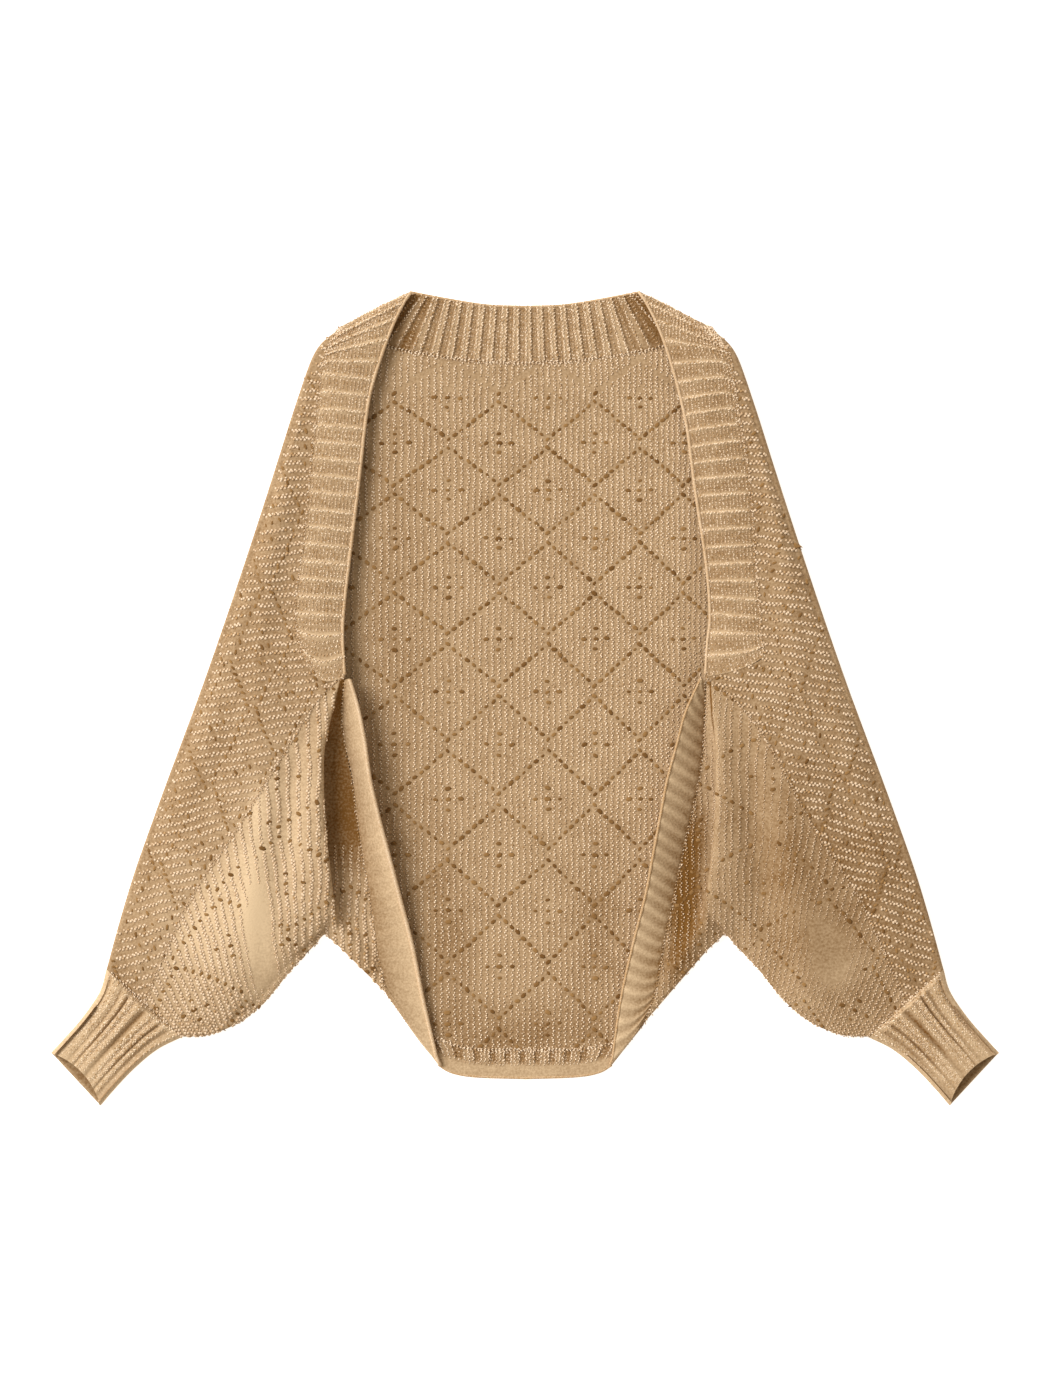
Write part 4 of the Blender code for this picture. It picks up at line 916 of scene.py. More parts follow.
yarn = {
    "light": (0.98, 0.8, 0.6, 1),  # crests of the loops
    # a darker copy of the light colour for the sleeves, as painted shade that tames their sunlit highlights
    "shadedArmLight": (0.78, 0.6, 0.42, 1),  # and on the sleeves
    "deep": (0.46, 0.275, 0.12, 1),  # loops in the dark
    "bare": (0.8, 0.6, 0.38, 1),  # where the knit is felted smooth
    # the ground between the loops is dark, partly as painted shade in the gaps
    "ground": (0.17, 0.075, 0.014, 1),  # between the loops
    # the eyelets are dark pits whose colours are painted shade inside the holes
    "holeEdge": (0.3, 0.165, 0.06, 1),
    "hole": (0.16, 0.075, 0.02, 1),
    "roughness": 0.9,
    "sheen": 0.05,
    "sheenTint": (1, 0.88, 0.74, 1),
    "relief": 0.0006,  # depth of the fibres, in metres
    "reliefStrength": 0.35,
    "dyePatches": 0.1,  # how much the dye varies over patches
    "unevenTone": 0.36,  # from leg to leg, as are the next three
    "unevenPlace": 0.28,
    "unevenTurn": 0.22,
    "unevenSize": 0.12,
    "leastFacing": -0.25,
    "leastHeight": 1.3,
}


def setInputs(tree, node, values):
    # each value is a plain one, or the output that feeds the input
    for name, value in values.items():
        if isinstance(value, bpy.types.NodeSocket):
            tree.links.new(value, node.inputs[name])
        else:
            node.inputs[name].default_value = value


def addNode(tree, kind, values=None, **settings):
    node = tree.nodes.new(kind)
    for name, value in settings.items():
        setattr(node, name, value)
    setInputs(tree, node, values or {})
    return node


def nodeGroup(name, kind, inputs, outputs):
    # a group of nodes with its named inputs and outputs, and the identifiers of the inputs
    tree, sockets = bpy.data.node_groups.new(name, kind), {}
    for label, socketKind, value in inputs:
        socket = tree.interface.new_socket(label, in_out="INPUT", socket_type="NodeSocket" + socketKind)
        sockets[label] = socket.identifier
        if value is not None:
            socket.default_value = value
    for label, socketKind in outputs:
        tree.interface.new_socket(label, in_out="OUTPUT", socket_type="NodeSocket" + socketKind)
    given, out = tree.nodes.new("NodeGroupInput").outputs, tree.nodes.new("NodeGroupOutput")
    return tree, given, out, sockets


def yarnGroup():
    # uneven dye and spun fibres
    inputs = (
        ("Light", "Color", (1, 1, 1, 1)),
        ("Deep", "Color", (0.5, 0.5, 0.5, 1)),
        ("Tone", "Float", 0.5),
        ("Fibre Size", "Float", 900.0),
        ("Fibre Amount", "Float", 0.5),
        ("Patch Size", "Float", 40.0),
    )
    outputs = (("Color", "Color"), ("Height", "Float"))
    tree, given, out, _ = nodeGroup("spun yarn", "ShaderNodeTree", inputs, outputs)
    where = addNode(tree, "ShaderNodeTexCoord").outputs["Object"]
    fibre, patchy = (
        addNode(tree, "ShaderNodeTexNoise", {"Vector": where, "Scale": given[size], "Detail": detail})
        for size, detail in (("Fibre Size", 3.0), ("Patch Size", 2.0))
    )
    share = given["Tone"]
    for noise, weight in ((fibre, given["Fibre Amount"]), (patchy, yarn["dyePatches"])):
        limits = {"From Min": 0.3, "From Max": 0.7, "To Min": -0.5, "To Max": 0.5}
        spread = addNode(tree, "ShaderNodeMapRange", {"Value": noise.outputs["Fac"], **limits})
        values = {0: spread.outputs[0], 1: weight, 2: share}
        share = addNode(tree, "ShaderNodeMath", values, operation="MULTIPLY_ADD").outputs[0]
    values = {"Factor": share, 6: given["Deep"], 7: given["Light"]}
    mixed = addNode(tree, "ShaderNodeMix", values, data_type="RGBA")
    setInputs(tree, out, {"Color": mixed.outputs[2], "Height": fibre.outputs["Fac"]})
    return tree


spunYarn = yarnGroup()


def clothMaterial(name, light, deep, fibre=900.0, amount=0.5):
    material = bpy.data.materials.new(name)
    material.use_nodes = True
    tree = material.node_tree
    tone = addNode(tree, "ShaderNodeAttribute", attribute_name="tone")
    values = {"Light": light, "Deep": deep, "Fibre Size": fibre, "Fibre Amount": amount}
    group = addNode(tree, "ShaderNodeGroup", {}, node_tree=spunYarn)
    setInputs(tree, group, {**values, "Tone": tone.outputs["Fac"]})
    values = {"Strength": yarn["reliefStrength"], "Distance": yarn["relief"]}
    relief = addNode(tree, "ShaderNodeBump", {**values, "Height": group.outputs["Height"]})
    setInputs(tree, tree.nodes["Principled BSDF"], {
        "Roughness": yarn["roughness"],
        "Sheen Weight": yarn["sheen"],
        "Sheen Roughness": 0.5,
        "Sheen Tint": yarn["sheenTint"],
        "Specular IOR Level": 0.15,
        "Base Color": group.outputs["Color"],
        "Normal": relief.outputs["Normal"],
    })
    return material


looks = {
    "yarn": clothMaterial("camel_yarn", yarn["light"], yarn["deep"]),
    # the sleeves' yarn is the same yarn with a darker light colour, which is painted shade
    "shadedArmYarn": clothMaterial("shaded_arm_yarn", yarn["shadedArmLight"], yarn["deep"]),
    "ground": clothMaterial("knit_ground", yarn["bare"], yarn["ground"], 480.0, 0.28),
    "ribYarn": clothMaterial("rib_yarn", yarn["light"], yarn["deep"]),
    "ribGround": clothMaterial("rib_ground", yarn["bare"], yarn["ground"], 560.0, 0.3),
    "hole": clothMaterial("eyelet_shade", yarn["holeEdge"], yarn["hole"]),
}
groundLooks = {"lace_knit": "ground", "rib_knit": "ribGround"}


# The tree that lays yarn legs, shared by every piece.


def yarnTree():
    inputs = (
        ("Places", "Geometry", None),
        ("Sides", "Int", 5),
        ("Rings", "Int", 2),
        ("Unevenness", "Float", yarn["unevenSize"]),
        ("Seed", "Int", 1),
        ("Yarn", "Material", None),
    )
    outputs = (("Yarn Legs", "Geometry"),)
    tree, given, out, sockets = nodeGroup("yarn legs", "GeometryNodeTree", inputs, outputs)
    values = {"Segments": given["Sides"], "Rings": given["Rings"], "Radius": toMetres}
    leg = addNode(tree, "GeometryNodeMeshUVSphere", values)
    smooth = addNode(tree, "GeometryNodeSetShadeSmooth", {"Geometry": leg.outputs["Mesh"]})
    turn, size = (
        addNode(tree, "GeometryNodeInputNamedAttribute", {"Name": label}, data_type="FLOAT_VECTOR")
        for label in ("turn", "size")
    )
    least, most = (
        addNode(tree, "ShaderNodeMath", {0: 1.0, 1: given["Unevenness"]}, operation=operation)
        for operation in ("SUBTRACT", "ADD")
    )
    wobble = addNode(tree, "FunctionNodeRandomValue", {"Seed": given["Seed"]}, data_type="FLOAT")
    setInputs(tree, wobble, {2: least.outputs[0], 3: most.outputs[0]})
    scaled = addNode(tree, "ShaderNodeVectorMath", {0: size.outputs["Attribute"]}, operation="SCALE")
    setInputs(tree, scaled, {"Scale": wobble.outputs[1]})
    facing = addNode(tree, "FunctionNodeEulerToRotation", {"Euler": turn.outputs["Attribute"]})
    values = {"Points": given["Places"], "Instance": smooth.outputs[0]}
    values.update({"Rotation": facing.outputs[0], "Scale": scaled.outputs[0]})
    laid = addNode(tree, "GeometryNodeInstanceOnPoints", values)
    real = addNode(tree, "GeometryNodeRealizeInstances", {"Geometry": laid.outputs[0]})
    values = {"Geometry": real.outputs[0], "Material": given["Yarn"]}
    dyed = addNode(tree, "GeometryNodeSetMaterial", values)
    setInputs(tree, out, {0: dyed.outputs[0]})
    return tree, sockets


legTree, legSockets = yarnTree()


def yarnPiece(name, rows, look, detail=(5, 2)):
    # one mesh of all the yarn legs in the rows
    chance = np.random.default_rng(len(rows))
    uneven = [yarn["unevenPlace"]] * 2 + [0, 0, 0, yarn["unevenTurn"], 0, 0, 0, yarn["unevenTone"]]
    rows = rows + chance.normal(0, 1, rows.shape) * uneven
    mesh = newMesh(name, rows[:, :3])
    markTone(mesh, rows[:, 9])
    columns = {"turn": rows[:, 3:6], "size": rows[:, 6:9]}
    for label, values in columns.items():
        data = mesh.attributes.new(label, "FLOAT_VECTOR", "POINT").data
        data.foreach_set("vector", np.ascontiguousarray(values, float).ravel())
    thing = addObject(name, mesh)
    modifier = thing.modifiers.new("knit", "NODES")
    modifier.node_group = legTree
    values = {"Sides": detail[0], "Rings": detail[1], "Unevenness": yarn["unevenSize"]}
    values.update({"Seed": len(rows), "Yarn": looks[look]})
    for label, value in values.items():
        modifier[legSockets[label]] = value
    laid = bpy.data.meshes.new_from_object(thing.evaluated_get(bpy.context.evaluated_depsgraph_get()))
    thing.modifiers.remove(modifier)
    for label in columns:
        if label in laid.attributes:
            laid.attributes.remove(laid.attributes[label])
    thing.data = laid
    laid.name = name
    return thing


def rollPiece(name, path, radius, tone):
    # a smooth rolled edge: a round tube with closed ends
    along = unit(np.gradient(path, axis=0))
    level = unit(np.cross(along, (0, 0, 1.0)))
    up = np.cross(level, along)
    count = 8
    turns = np.arange(count) / count * 2 * np.pi
    taper = np.sin(np.linspace(0.25, np.pi - 0.25, len(path))) ** 0.15 * radius
    ring = level[:, None] * np.cos(turns)[None, :, None] + up[:, None] * np.sin(turns)[None, :, None]
    points = path[:, None] + ring * taper[:, None, None]
    number = np.arange(points[..., 0].size).reshape(len(path), count)
    number = np.hstack([number, number[:, :1]])
    quads = np.stack([number[:-1, :-1], number[:-1, 1:], number[1:, 1:], number[1:, :-1]], 2)
    ends = [number[0, :count].tolist(), number[-1, count - 1 :: -1].tolist()]
    mesh = newMesh(name, points, quads.reshape(-1, 4)[:, ::-1].tolist() + ends)
    mesh.shade_smooth()
    markTone(mesh, np.full(len(mesh.vertices), tone))
    mesh.materials.append(looks["ribYarn"])
    return addObject(name, mesh)


def surfaceArea(grid, closed):
    loop = np.concatenate([grid, grid[:, :1]], axis=1) if closed else grid
    one, two = loop[1:, 1:] - loop[:-1, :-1], loop[1:, :-1] - loop[:-1, 1:]
    return np.linalg.norm(np.cross(one, two), axis=2).sum() / 2 * toMetres**2


def declare(shell, node, slotName, flat, area, extras):
    # what stands for a node: its ground, with the stitches, eyelets and edge that lie on it
    shell.data.materials.append(looks[groundLooks[slotName]])
    for thing in [shell] + extras:
        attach(thing, "root")
    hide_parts(node)
    flat = [round(size * toMetres, 3) for size in flat]
    area = round(min(area, flat[0] * flat[1]), 4)
    print(node, "cut", flat, "area", area, "with", len(extras))


# The lace pattern: diamonds of eyelets, with five in each middle.

laceDiamond = {"wales": 16, "rows": 20}
felting = {"noEyelets": 0.4, "noStitches": 0.85, "smaller": 0.5, "darker": 0.05}  # by how felted it is


def inDiamond(wale, row, shift):
    # columns from the middle and rows from the foot of one of the two sets of diamonds
    wales, rows = laceDiamond["wales"], laceDiamond["rows"]
    return (wale - shift * wales + wales / 2) % wales - wales / 2, (row - shift * rows) % rows


def isEyelet(wale, row):
    rows = laceDiamond["rows"]
    hit = np.zeros(len(wale), bool)
    for shift in (0, 0.5):
        w, r = inDiamond(wale, row, shift)
        w = np.abs(w)
        hit |= (r == 1 + w) | (r == rows - 1 - w)
        hit |= (w == 0) & (np.abs(r - rows / 2) <= 2) & (r % 2 == 0)
        hit |= (w == 2) & (r == rows / 2)
    return hit


def eyeletSlope(wale, row):
    # which way the side of a diamond runs at an eyelet: 1 or -1, and 0 elsewhere
    rows = laceDiamond["rows"]
    slope = np.zeros(len(wale))
    for shift in (0, 0.5):
        w, r = inDiamond(wale, row, shift)
        onSide = np.abs(w) == np.minimum(r, rows - r) - 1
        slope += onSide * np.sign(w) * np.sign(rows / 2 - r)
    return np.sign(slope)


def onEyelet(wale, row, reach):
    hit = np.zeros(len(wale), bool)
    for whole in (np.floor(row), np.ceil(row)):
        hit |= isEyelet(wale, whole) & (np.abs(row - whole) < reach)
    return hit


wanderSize = 0.45


def wander(plan, size=1.0):
    # the small unevenness of knit laid by hand
    x, y = plan[..., 0], plan[..., 1]
    sideways = np.sin(y / 17 + x / 41) + 0.6 * np.sin(y / 7.3 - x / 23)
    return plan + size * np.stack([sideways, np.sin(x / 13 - y / 37)], -1) * wanderSize


# Back panel.

sides = {side: Side(side) for side in ("left", "right")}

back = {
    "diamondX": (-117, -70.2, -24.3, 22.5, 63, 103.5),  # corners of diamonds across the back
    "diamondUp": (231.3, 189.9, 141.3, 98.1, 55.8, 9.9, -38.7, -92.7, -142.2, -192.2, -240.3),
    "coursesPerRow": 1.3,  # courses of stitches to a row of the diamonds
    "rows": 128,
    "columns": 72,
    "swell": 0.35,  # how far the cloth lies unevenly
    "openCourses": 0.62,  # how near to an eyelet a stitch is left out, along its column
    "tone": 0.39,
    # the eyelet's tone is for a dark pit of painted shade where the hole is
    "eyelet": (1.9, 0.4, 2.9, 0.69, 0.0),  # half sizes, turn along the diamond's side, and tone
    "eyeletSizes": (0.75, 1.15),  # least and most of these sizes
    "eyeletTop": 276,  # no eyelets above this, under the neck
}
waleFit = np.polyfit(back["diamondX"], 8 * np.arange(6) - 8, 2)
rowFit = np.polyfit(back["diamondUp"], -10 * np.arange(11), 3)


def backCoords(plan):
    plan = wander(plan)
    return np.stack([np.polyval(waleFit, plan[..., 0]), np.polyval(rowFit, plan[..., 1])], -1)


def layLace(grid, normals, coords, style, eyelet, marks=None, shades=None, keep=None, strands=None):
    # stitches of the lace, and the dark pits of painted shade that stand for the eyelets they leave open;
    # marks say how felted it is
    perRow = back["coursesPerRow"]
    courses = coords * (1, perRow) if strands is None else strands
    spots = latticeSpots(grid, normals, courses, marks, shades)
    holes = latticeSpots(grid, normals, coords, marks)
    if keep:
        spots, holes = spots[keep(spots)], holes[keep(holes)]
    holes = holes[isEyelet(holes[:, 12], holes[:, 13]) & (holes[:, 14] < felting["noEyelets"])]
    holes = inSight(holes)
    if strands is None:
        near = onEyelet(spots[:, 12], spots[:, 13] / perRow, back["openCourses"])
    else:
        gaps = ((spots[:, None, :2] - holes[None, :, :2]) ** 2).sum(axis=2)
        near = gaps.min(axis=1) < sleeves["openReach"] ** 2
    spots = spots[~near & (spots[:, 14] < felting["noStitches"])]
    smaller, darker = felting["smaller"] * spots[:, 14], felting["darker"] * spots[:, 14]
    legs = legsAt(spots, style, 1 - smaller, spots[:, 15] - darker)
    pits = legsAt(holes, "pit", tone=eyelet[4])
    pits[:, 5] += eyelet[3] * eyeletSlope(holes[:, 12], holes[:, 13])
    uneven = np.random.default_rng(len(pits)).uniform(*back["eyeletSizes"], (len(pits), 1))
    pits[:, 6:9] = np.array(eyelet[:3]) * uneven
    return legs, pits


def stripsOn(plan, table):
    return alongLines(plan.reshape(-1, 2), table).reshape(plan.shape[:2])


def backSwell(plan):
    out, up = plan[..., 0], plan[..., 1]
    return back["swell"] * (np.sin(out / 31 + up / 53) + np.sin(up / 24)) / 2


def makeBack():
    across, up = np.linspace(0, 1, back["columns"]), np.linspace(0, 1, back["rows"])
    plan = blend(hemLines(across)[0][None], neckLines(across)[0][None], up[:, None, None])
    swell = backSwell(plan)
    top = np.dstack([plan, cloth["wall"] + swell - cloth["ground"]])
    normals = gridNormals(top, False, np.array((0, 0, 1.0)))
    shade = stripsOn(plan, paintedShadingStrips["back"])
    shell = wallMesh("back_cloth", top, np.dstack([plan, 0 * swell]), back["tone"] + shade)
    legs, pits = layLace(top, normals, backCoords(plan), "lace", back["eyelet"], shades=shade)
    pits = pits[pits[:, 1] < back["eyeletTop"]]
    extras = [yarnPiece("back_stitches", legs, "yarn"), yarnPiece("back_eyelets", pits, "hole", (8, 3))]
    size = (np.ptp(plan[..., 0]), np.ptp(plan[..., 1]))
    declare(shell, "back_panel", "lace_knit", size, surfaceArea(top, False), extras)


print("back panel")
makeBack()


# Ribbed bands. Shares are of a rib's width, or of the way from the seam to the free edge.

# Grooves between the ribs and the sunken purl columns are painted darker, as painted shade over the real
# relief.
bands = {
    "front": {
        "ribs": 21, "share": 0.26, "columns": 4, "knit": (0,), "offset": 0.13, "height": 1.2,
        "grooveShade": 0.38, "crest": 0.78, "purlShade": -0.05, "roll": 1.6, "rollTone": 0.3,
        "sideShade": {"left": 0.0, "right": -0.08},
    },
    # The side bands' edge value paints them lighter towards the free edge and darker towards the seam, as
    # painted light and painted shade.
    "sideLeft": {
        "ribs": 26, "share": 0.5, "height": 0.25, "grooveShade": 0.42, "crest": 0.46, "edgeShading": 0.45,
        "slant": 0.8, "roll": 2.0, "rollTone": 0.4, "sideShade": {"left": 0.04},
    },
    "sideRight": {
        "ribs": 26, "share": 0.5, "height": 0.8, "grooveShade": 0.36, "crest": 0.66, "edgeShading": 0.5,
        "slant": 1.3, "roll": 1.3, "rollTone": 0.15, "sideShade": {"right": -0.03},
    },
    "neck": {
        "ribs": 20, "share": 0.55, "columns": 3, "knit": (0, 1), "offset": 0.11, "height": 1.2,
        "grooveShade": 0.3, "crest": 0.5, "purlShade": -0.18, "roll": 1.3, "rollTone": 0.2,
        "endShade": (-0.22, -0.24),
    },
    "hem": {
        "ribs": 12, "share": 0.66, "columns": 4, "knit": (0, 1, 2), "offset": 0.08, "height": 0.9,
        "grooveShade": 0.16, "crest": 0.36, "purlShade": -0.3, "roll": 1.3, "rollTone": 0.2,
        "endShade": (0, 0), "reach": 0.62,
    },
    "cuff": {
        "ribs": 8, "columns": 4, "knit": (0, 1, 2, 3), "offset": 0.12, "height": 2.6, "round": 1.0,
        "grooveShade": 0.2, "crest": 0.68, "sway": 0.22, "inside": 0.2, "lip": 0.55, "legShade": -0.22,
        "rings": 28, "sideShade": {"left": 0.0, "right": -0.1}, "seamFade": 0.08,
        "gather": (0.75, 0.35),  # depth of the gathers, and how much it varies
        "openEnd": (0.35, 0.6, 0.6),  # where they begin to open out, over how much and by how much
        "legDepth": 0.35,
    },
}
feltedTone = 0.52  # of a band where its ribs run out
feltedOver = 0.25  # share of the band over which they do
coursePitch = 3.2
pointsPerRib = 12
flatBand = {
    "columns": 18,
    "endFade": (0.93, 0.07),  # where the ribs begin to sink towards the ends, and over how much
    "seamFade": 0.1,
    "edgeFade": 0.06,
    "leftShade": (0.2, 0.16),  # where the end's shade comes in, and over how much
    "rightShade": (0.84, 0.14),
    "seamLine": (0.02, 2.6),  # share of the way across, and height
    "edgeLine": (0.99, 1.5),
}


def ribProfile(turns, band):
    # height share of the ribs at numbers of ribs along a band
    look = bands[band]
    off = np.abs((turns - look["share"] / 2 + 0.5) % 1 - 0.5) / (look["share"] / 2)
    return np.clip(1 - off**4, 0, 1) ** 0.7 if look["share"] > 0.5 else np.exp(-((off * 0.95) ** 2))


def bandPiece(name, band, base, normals, turns, spread, fade, shade=0.0):
    # the ground of a band with its ribs raised and painted shade in its grooves; spread runs from its seam to
    # its free edge
    look = bands[band]
    felted = 1 - ease((look.get("reach", np.inf) - spread) / feltedOver) + 0 * turns
    crest = ribProfile(turns + look.get("slant", 0) * spread, band) * fade * (1 - felted)
    outer = base + normals * (look["height"] * crest + 0.5 * felted - cloth["ground"])[..., None]
    tone = blend(look["grooveShade"], look["crest"], crest) + look.get("edgeShading", 0) * (spread - 0.5) + shade
    tone = blend(tone, feltedTone, felted)
    return wallMesh(name + "_cloth", outer, base - normals * cloth["wall"], tone), outer, felted


def bandLegs(outer, normals, turns, travel, band, marks=None, shades=None):
    look = bands[band]
    coords = np.stack([(turns - look["offset"]) * look["columns"], travel / coursePitch], -1)
    spots = latticeSpots(outer, normals, coords, marks, shades)
    spots = spots[spots[:, 14] < 0.6]
    knit = np.isin(spots[:, 12] % look["columns"], look["knit"])
    legs = [legsAt(spots[knit], "rib", 1 - 0.5 * spots[knit, 14], spots[knit, 15])]
    if "purlShade" in look:
        legs.append(legsAt(spots[~knit], "purl", 1.0, look["purlShade"] + spots[~knit, 15]))
    return np.vstack(legs)


def travelAcross(base):
    steps = np.linalg.norm(np.diff(base, axis=1), axis=2)
    return np.hstack([np.zeros((len(base), 1)), np.cumsum(steps, axis=1)])


def finishBand(shell, node, legs, size, base, edge=None, closed=False):
    # the stitches and the rolled edge of a band, its line, radius and tone
    extras = [yarnPiece(node + "_stitches", np.vstack(legs), "ribYarn")]
    if edge:
        extras.append(rollPiece(node + "_edge", *edge))
    declare(shell, node, "rib_knit", size, surfaceArea(base, closed), extras)


def makeFlatBand(node, band, seam, edge):
    look = bands[band]
    across = np.linspace(0, 1, flatBand["columns"])
    flat = blend(seam[:, None], edge[:, None], across[None, :, None])
    base = np.dstack([flat, np.full(flat.shape[:2], cloth["wall"])])
    normals = np.zeros_like(base) + (0, 0, 1)
    turns = np.linspace(0, look["ribs"], len(seam))[:, None] + 0 * base[..., 0]
    ends = np.abs(np.linspace(-1, 1, len(seam)))[:, None]
    start, over = flatBand["endFade"]
    fade = ease((start - ends) / over) * ease(across / flatBand["seamFade"])[None]
    fade = fade * ease((1 - across) / flatBand["edgeFade"])[None]
    share = turns / look["ribs"]
    (left, leftOver), (right, rightOver) = flatBand["leftShade"], flatBand["rightShade"]
    shade = look["endShade"][0] * ease((left - share) / leftOver)
    shade = shade + look["endShade"][1] * ease((share - right) / rightOver)
    shell, outer, felted = bandPiece(node, band, base, normals, turns, across[None], fade, shade)
    legs = [bandLegs(outer, normals, turns, travelAcross(base), band, felted, shade)]
    seamLine, edgeLine = (
        np.column_stack([blend(seam, edge, place), np.full(len(seam), height)])
        for place, height in (flatBand["seamLine"], flatBand["edgeLine"])
    )
    legs.append(legsAt(chainSpots(seamLine, normals[:, 0], coursePitch), "chain"))
    size = (lengths(seam)[-1], np.linalg.norm(seam - edge, axis=1).mean())
    finishBand(shell, node, legs, size, base, (edgeLine, look["roll"], look["rollTone"]))


for name, lineMaker in (("neck", neckLines), ("hem", hemLines)):
    print(name, "band")
    places = np.linspace(0, 1, bands[name]["ribs"] * pointsPerRib + 1)
    makeFlatBand(name + "_band", name, *lineMaker(places))


def alongTurns(base, places, ribs, first):
    # number of ribs at each row: even on the flat, and by length round the fold
    turns = np.empty(base.shape[:2])
    if first:  # the fold comes first
        turns[foldEnd:] = (places * ribs)[:, None]
        step = np.linalg.norm(np.diff(base[: foldEnd + 1], axis=0), axis=2)
        travel = np.cumsum(step[::-1], axis=0)[::-1]
        turns[:foldEnd] = -travel / np.linalg.norm(base[foldEnd + pointsPerRib] - base[foldEnd], axis=1)
        return turns
    count = len(places)
    turns[:count] = (places * ribs)[:, None]
    travel = np.cumsum(np.linalg.norm(np.diff(base[count - 1 :], axis=0), axis=2), axis=0)
    turns[count:] = ribs + travel / np.linalg.norm(base[count - 1] - base[count - 1 - pointsPerRib], axis=1)
    return turns


rim = {
    "spread": (0, 0.04, 0.1, 0.18, 0.28, 0.38, 0.48, 0.58, 0.68, 0.78, 0.87, 0.94, 1),
    "coarse": (0, 0.07, 0.5, 1),
    "edgeDepth": 1.5,  # of the rolled edge's line under the band's face
    "seamDepth": 0.9,
    "chain": (0.8, -0.45),  # size and tone of the seam's chain
    "seamFade": 0.1,
    "edgeFade": 0.08,
}


def makeRim(side):
    # both curled bands of one side, and what the sleeve shares with them
    lines = sides[side]
    spread, coarse = np.array(rim["spread"]), np.array(rim["coarse"])
    shared = []
    for name, band, form in (("front", "front", frontForm), ("side", "side" + side.title(), sideForm)):
        look = bands[band]
        ribs = look["ribs"]
        base, normals, rows = form(lines, ribPlaces(ribs, look["share"]), coarse)
        if name == "front":
            base[-1, 1] = blend(base[-1, 0], base[-1, 2], coarse[1] / coarse[2])
            knots = [*range(1, foldEnd + 1), *range(foldEnd + 6, len(base) - 3, 6), len(base) - 1]
            shared.append([np.vstack([grid[knots, 0], grid[-1, 2:]]) for grid in (base, normals)])
        else:
            flatEnd = len(base) - foldEnd - 1
            knots = [0, *range(8, flatEnd - 4, 8), *range(flatEnd, flatEnd + foldEnd)]
            shared.append([grid[knots, 0] for grid in (base, normals, rows)])
        places = np.linspace(0, 1, ribs * pointsPerRib + 1)
        base, normals, rows = form(lines, places, spread)
        turns = alongTurns(base, places, ribs, name == "front")
        base, normals = place(base, side), place(normals, side)
        fade = ease(spread / rim["seamFade"]) * ease((1 - spread) / rim["edgeFade"]) + 0 * turns
        node, shade = name + "_band_" + side, look["sideShade"][side]
        shell, outer, _ = bandPiece(node, band, base, normals, turns, spread[None], fade, shade)
        edge = base[1:-1, -1] - normals[1:-1, -1] * rim["edgeDepth"]
        seamLine = base[1:-1, 0] - normals[1:-1, 0] * rim["seamDepth"]
        legs = [legsAt(chainSpots(seamLine, normals[1:-1, 0], coursePitch), "chain", *rim["chain"])]
        if "knit" in look:
            legs.append(bandLegs(outer, normals, turns, travelAcross(base), band))
        size = (lengths(base[:, 6])[-1], travelAcross(base)[:, -1].mean())
        finishBand(shell, node, legs, size, base, (edge, look["roll"], look["rollTone"]))
    return shared


# Sleeves and cuffs.

sleeves = {
    "tone": 0.3,
    "openReach": 2.9,  # how near to an eyelet a stitch is left out
    "slot": (1.35, 0.45, 2.8, 0.39, 0.3),  # the arm's eyelets, as the back's
    "lowStyle": {"left": "sleeve", "right": "lace"},
    "lowFiner": {"left": (1, 1.5), "right": (1.25, 1.35)},  # stitches to a step of the low lace
    # After the felted tone come painted shade in the valley beside the fold and painted light on the low
    # panel.
    "tones": {"left": (0.16, -0.44, 0.16), "right": (0.16, -0.44, 0.08)},  # felted, in the valley, low
    "valleyRows": {"left": ((4.9, -1.2),), "right": ((4.9, -1.2), (2.2, 0.6))},  # where it ends, how softly
    "valleyUp": (-200, 90),
    "unevenness": 2.0,  # of the lines of stitches, to the back's
    "seamDepth": 0.7,
    "seamChain": (0.8, -0.1),
    "reach": 16,  # how far under the bands the stitches of the inside go on
    "left": {  # corners of the lace diamonds that show on the arm: out, up, along and across
        "out": (232.2, 268.2, 207, 243, 286.2, 308.7, 328.5, 262.8, 310.5, 222.3),
        "up": (107.1, 35.1, 44.1, -9.9, -77.4, -45.9, -144.9, -117.9, -189.9, -36.9),
        "along": (0, 0.5, 0.5, 1, 1.5, 1, 2, 2, 2.5, 1.5),
        "across": (0, -0.5, 0.5, 0, -0.5, -1, -1, 0, -0.5, 0.5),
    },
    "right": {
        "out": (238.5, 211.5, 270, 244.8, 307.8, 222.3, 285.3, 262.8, 328.5, 310.5),
        "up": (147.6, 93.6, 71.1, 12.6, -36.9, -36.9, -72.9, -117.9, -144.9, -189.9),
        "along": (0, 0.5, 0.5, 1, 1, 1.5, 1.5, 2, 2, 2.5),
        "across": (0, -0.5, 0.5, 0, 1, -0.5, 0.5, 0, 1, 0.5),
    },
}


def armCoords(plan, side):
    # columns of stitches run across the arm, so they are counted along it
    table = sleeves[side]

    def terms(out, up):
        out, up = (out - 260) / 100, (up + 40) / 100
        return np.stack([out * 0 + 1, out, up, out * out, out * up, up * up], -1)

    known = terms(np.array(table["out"]), np.array(table["up"]))
    steady = np.diag((0, 0, 0, 0.25, 0.25, 0.25))
    found = []
    for name, count in (("along", 16), ("across", 20)):
        fit = np.linalg.solve(known.T @ known + steady, known.T @ np.array(table[name]))
        found.append(terms(plan[..., 0], plan[..., 1]) @ fit * count)
    return np.stack(found, -1)


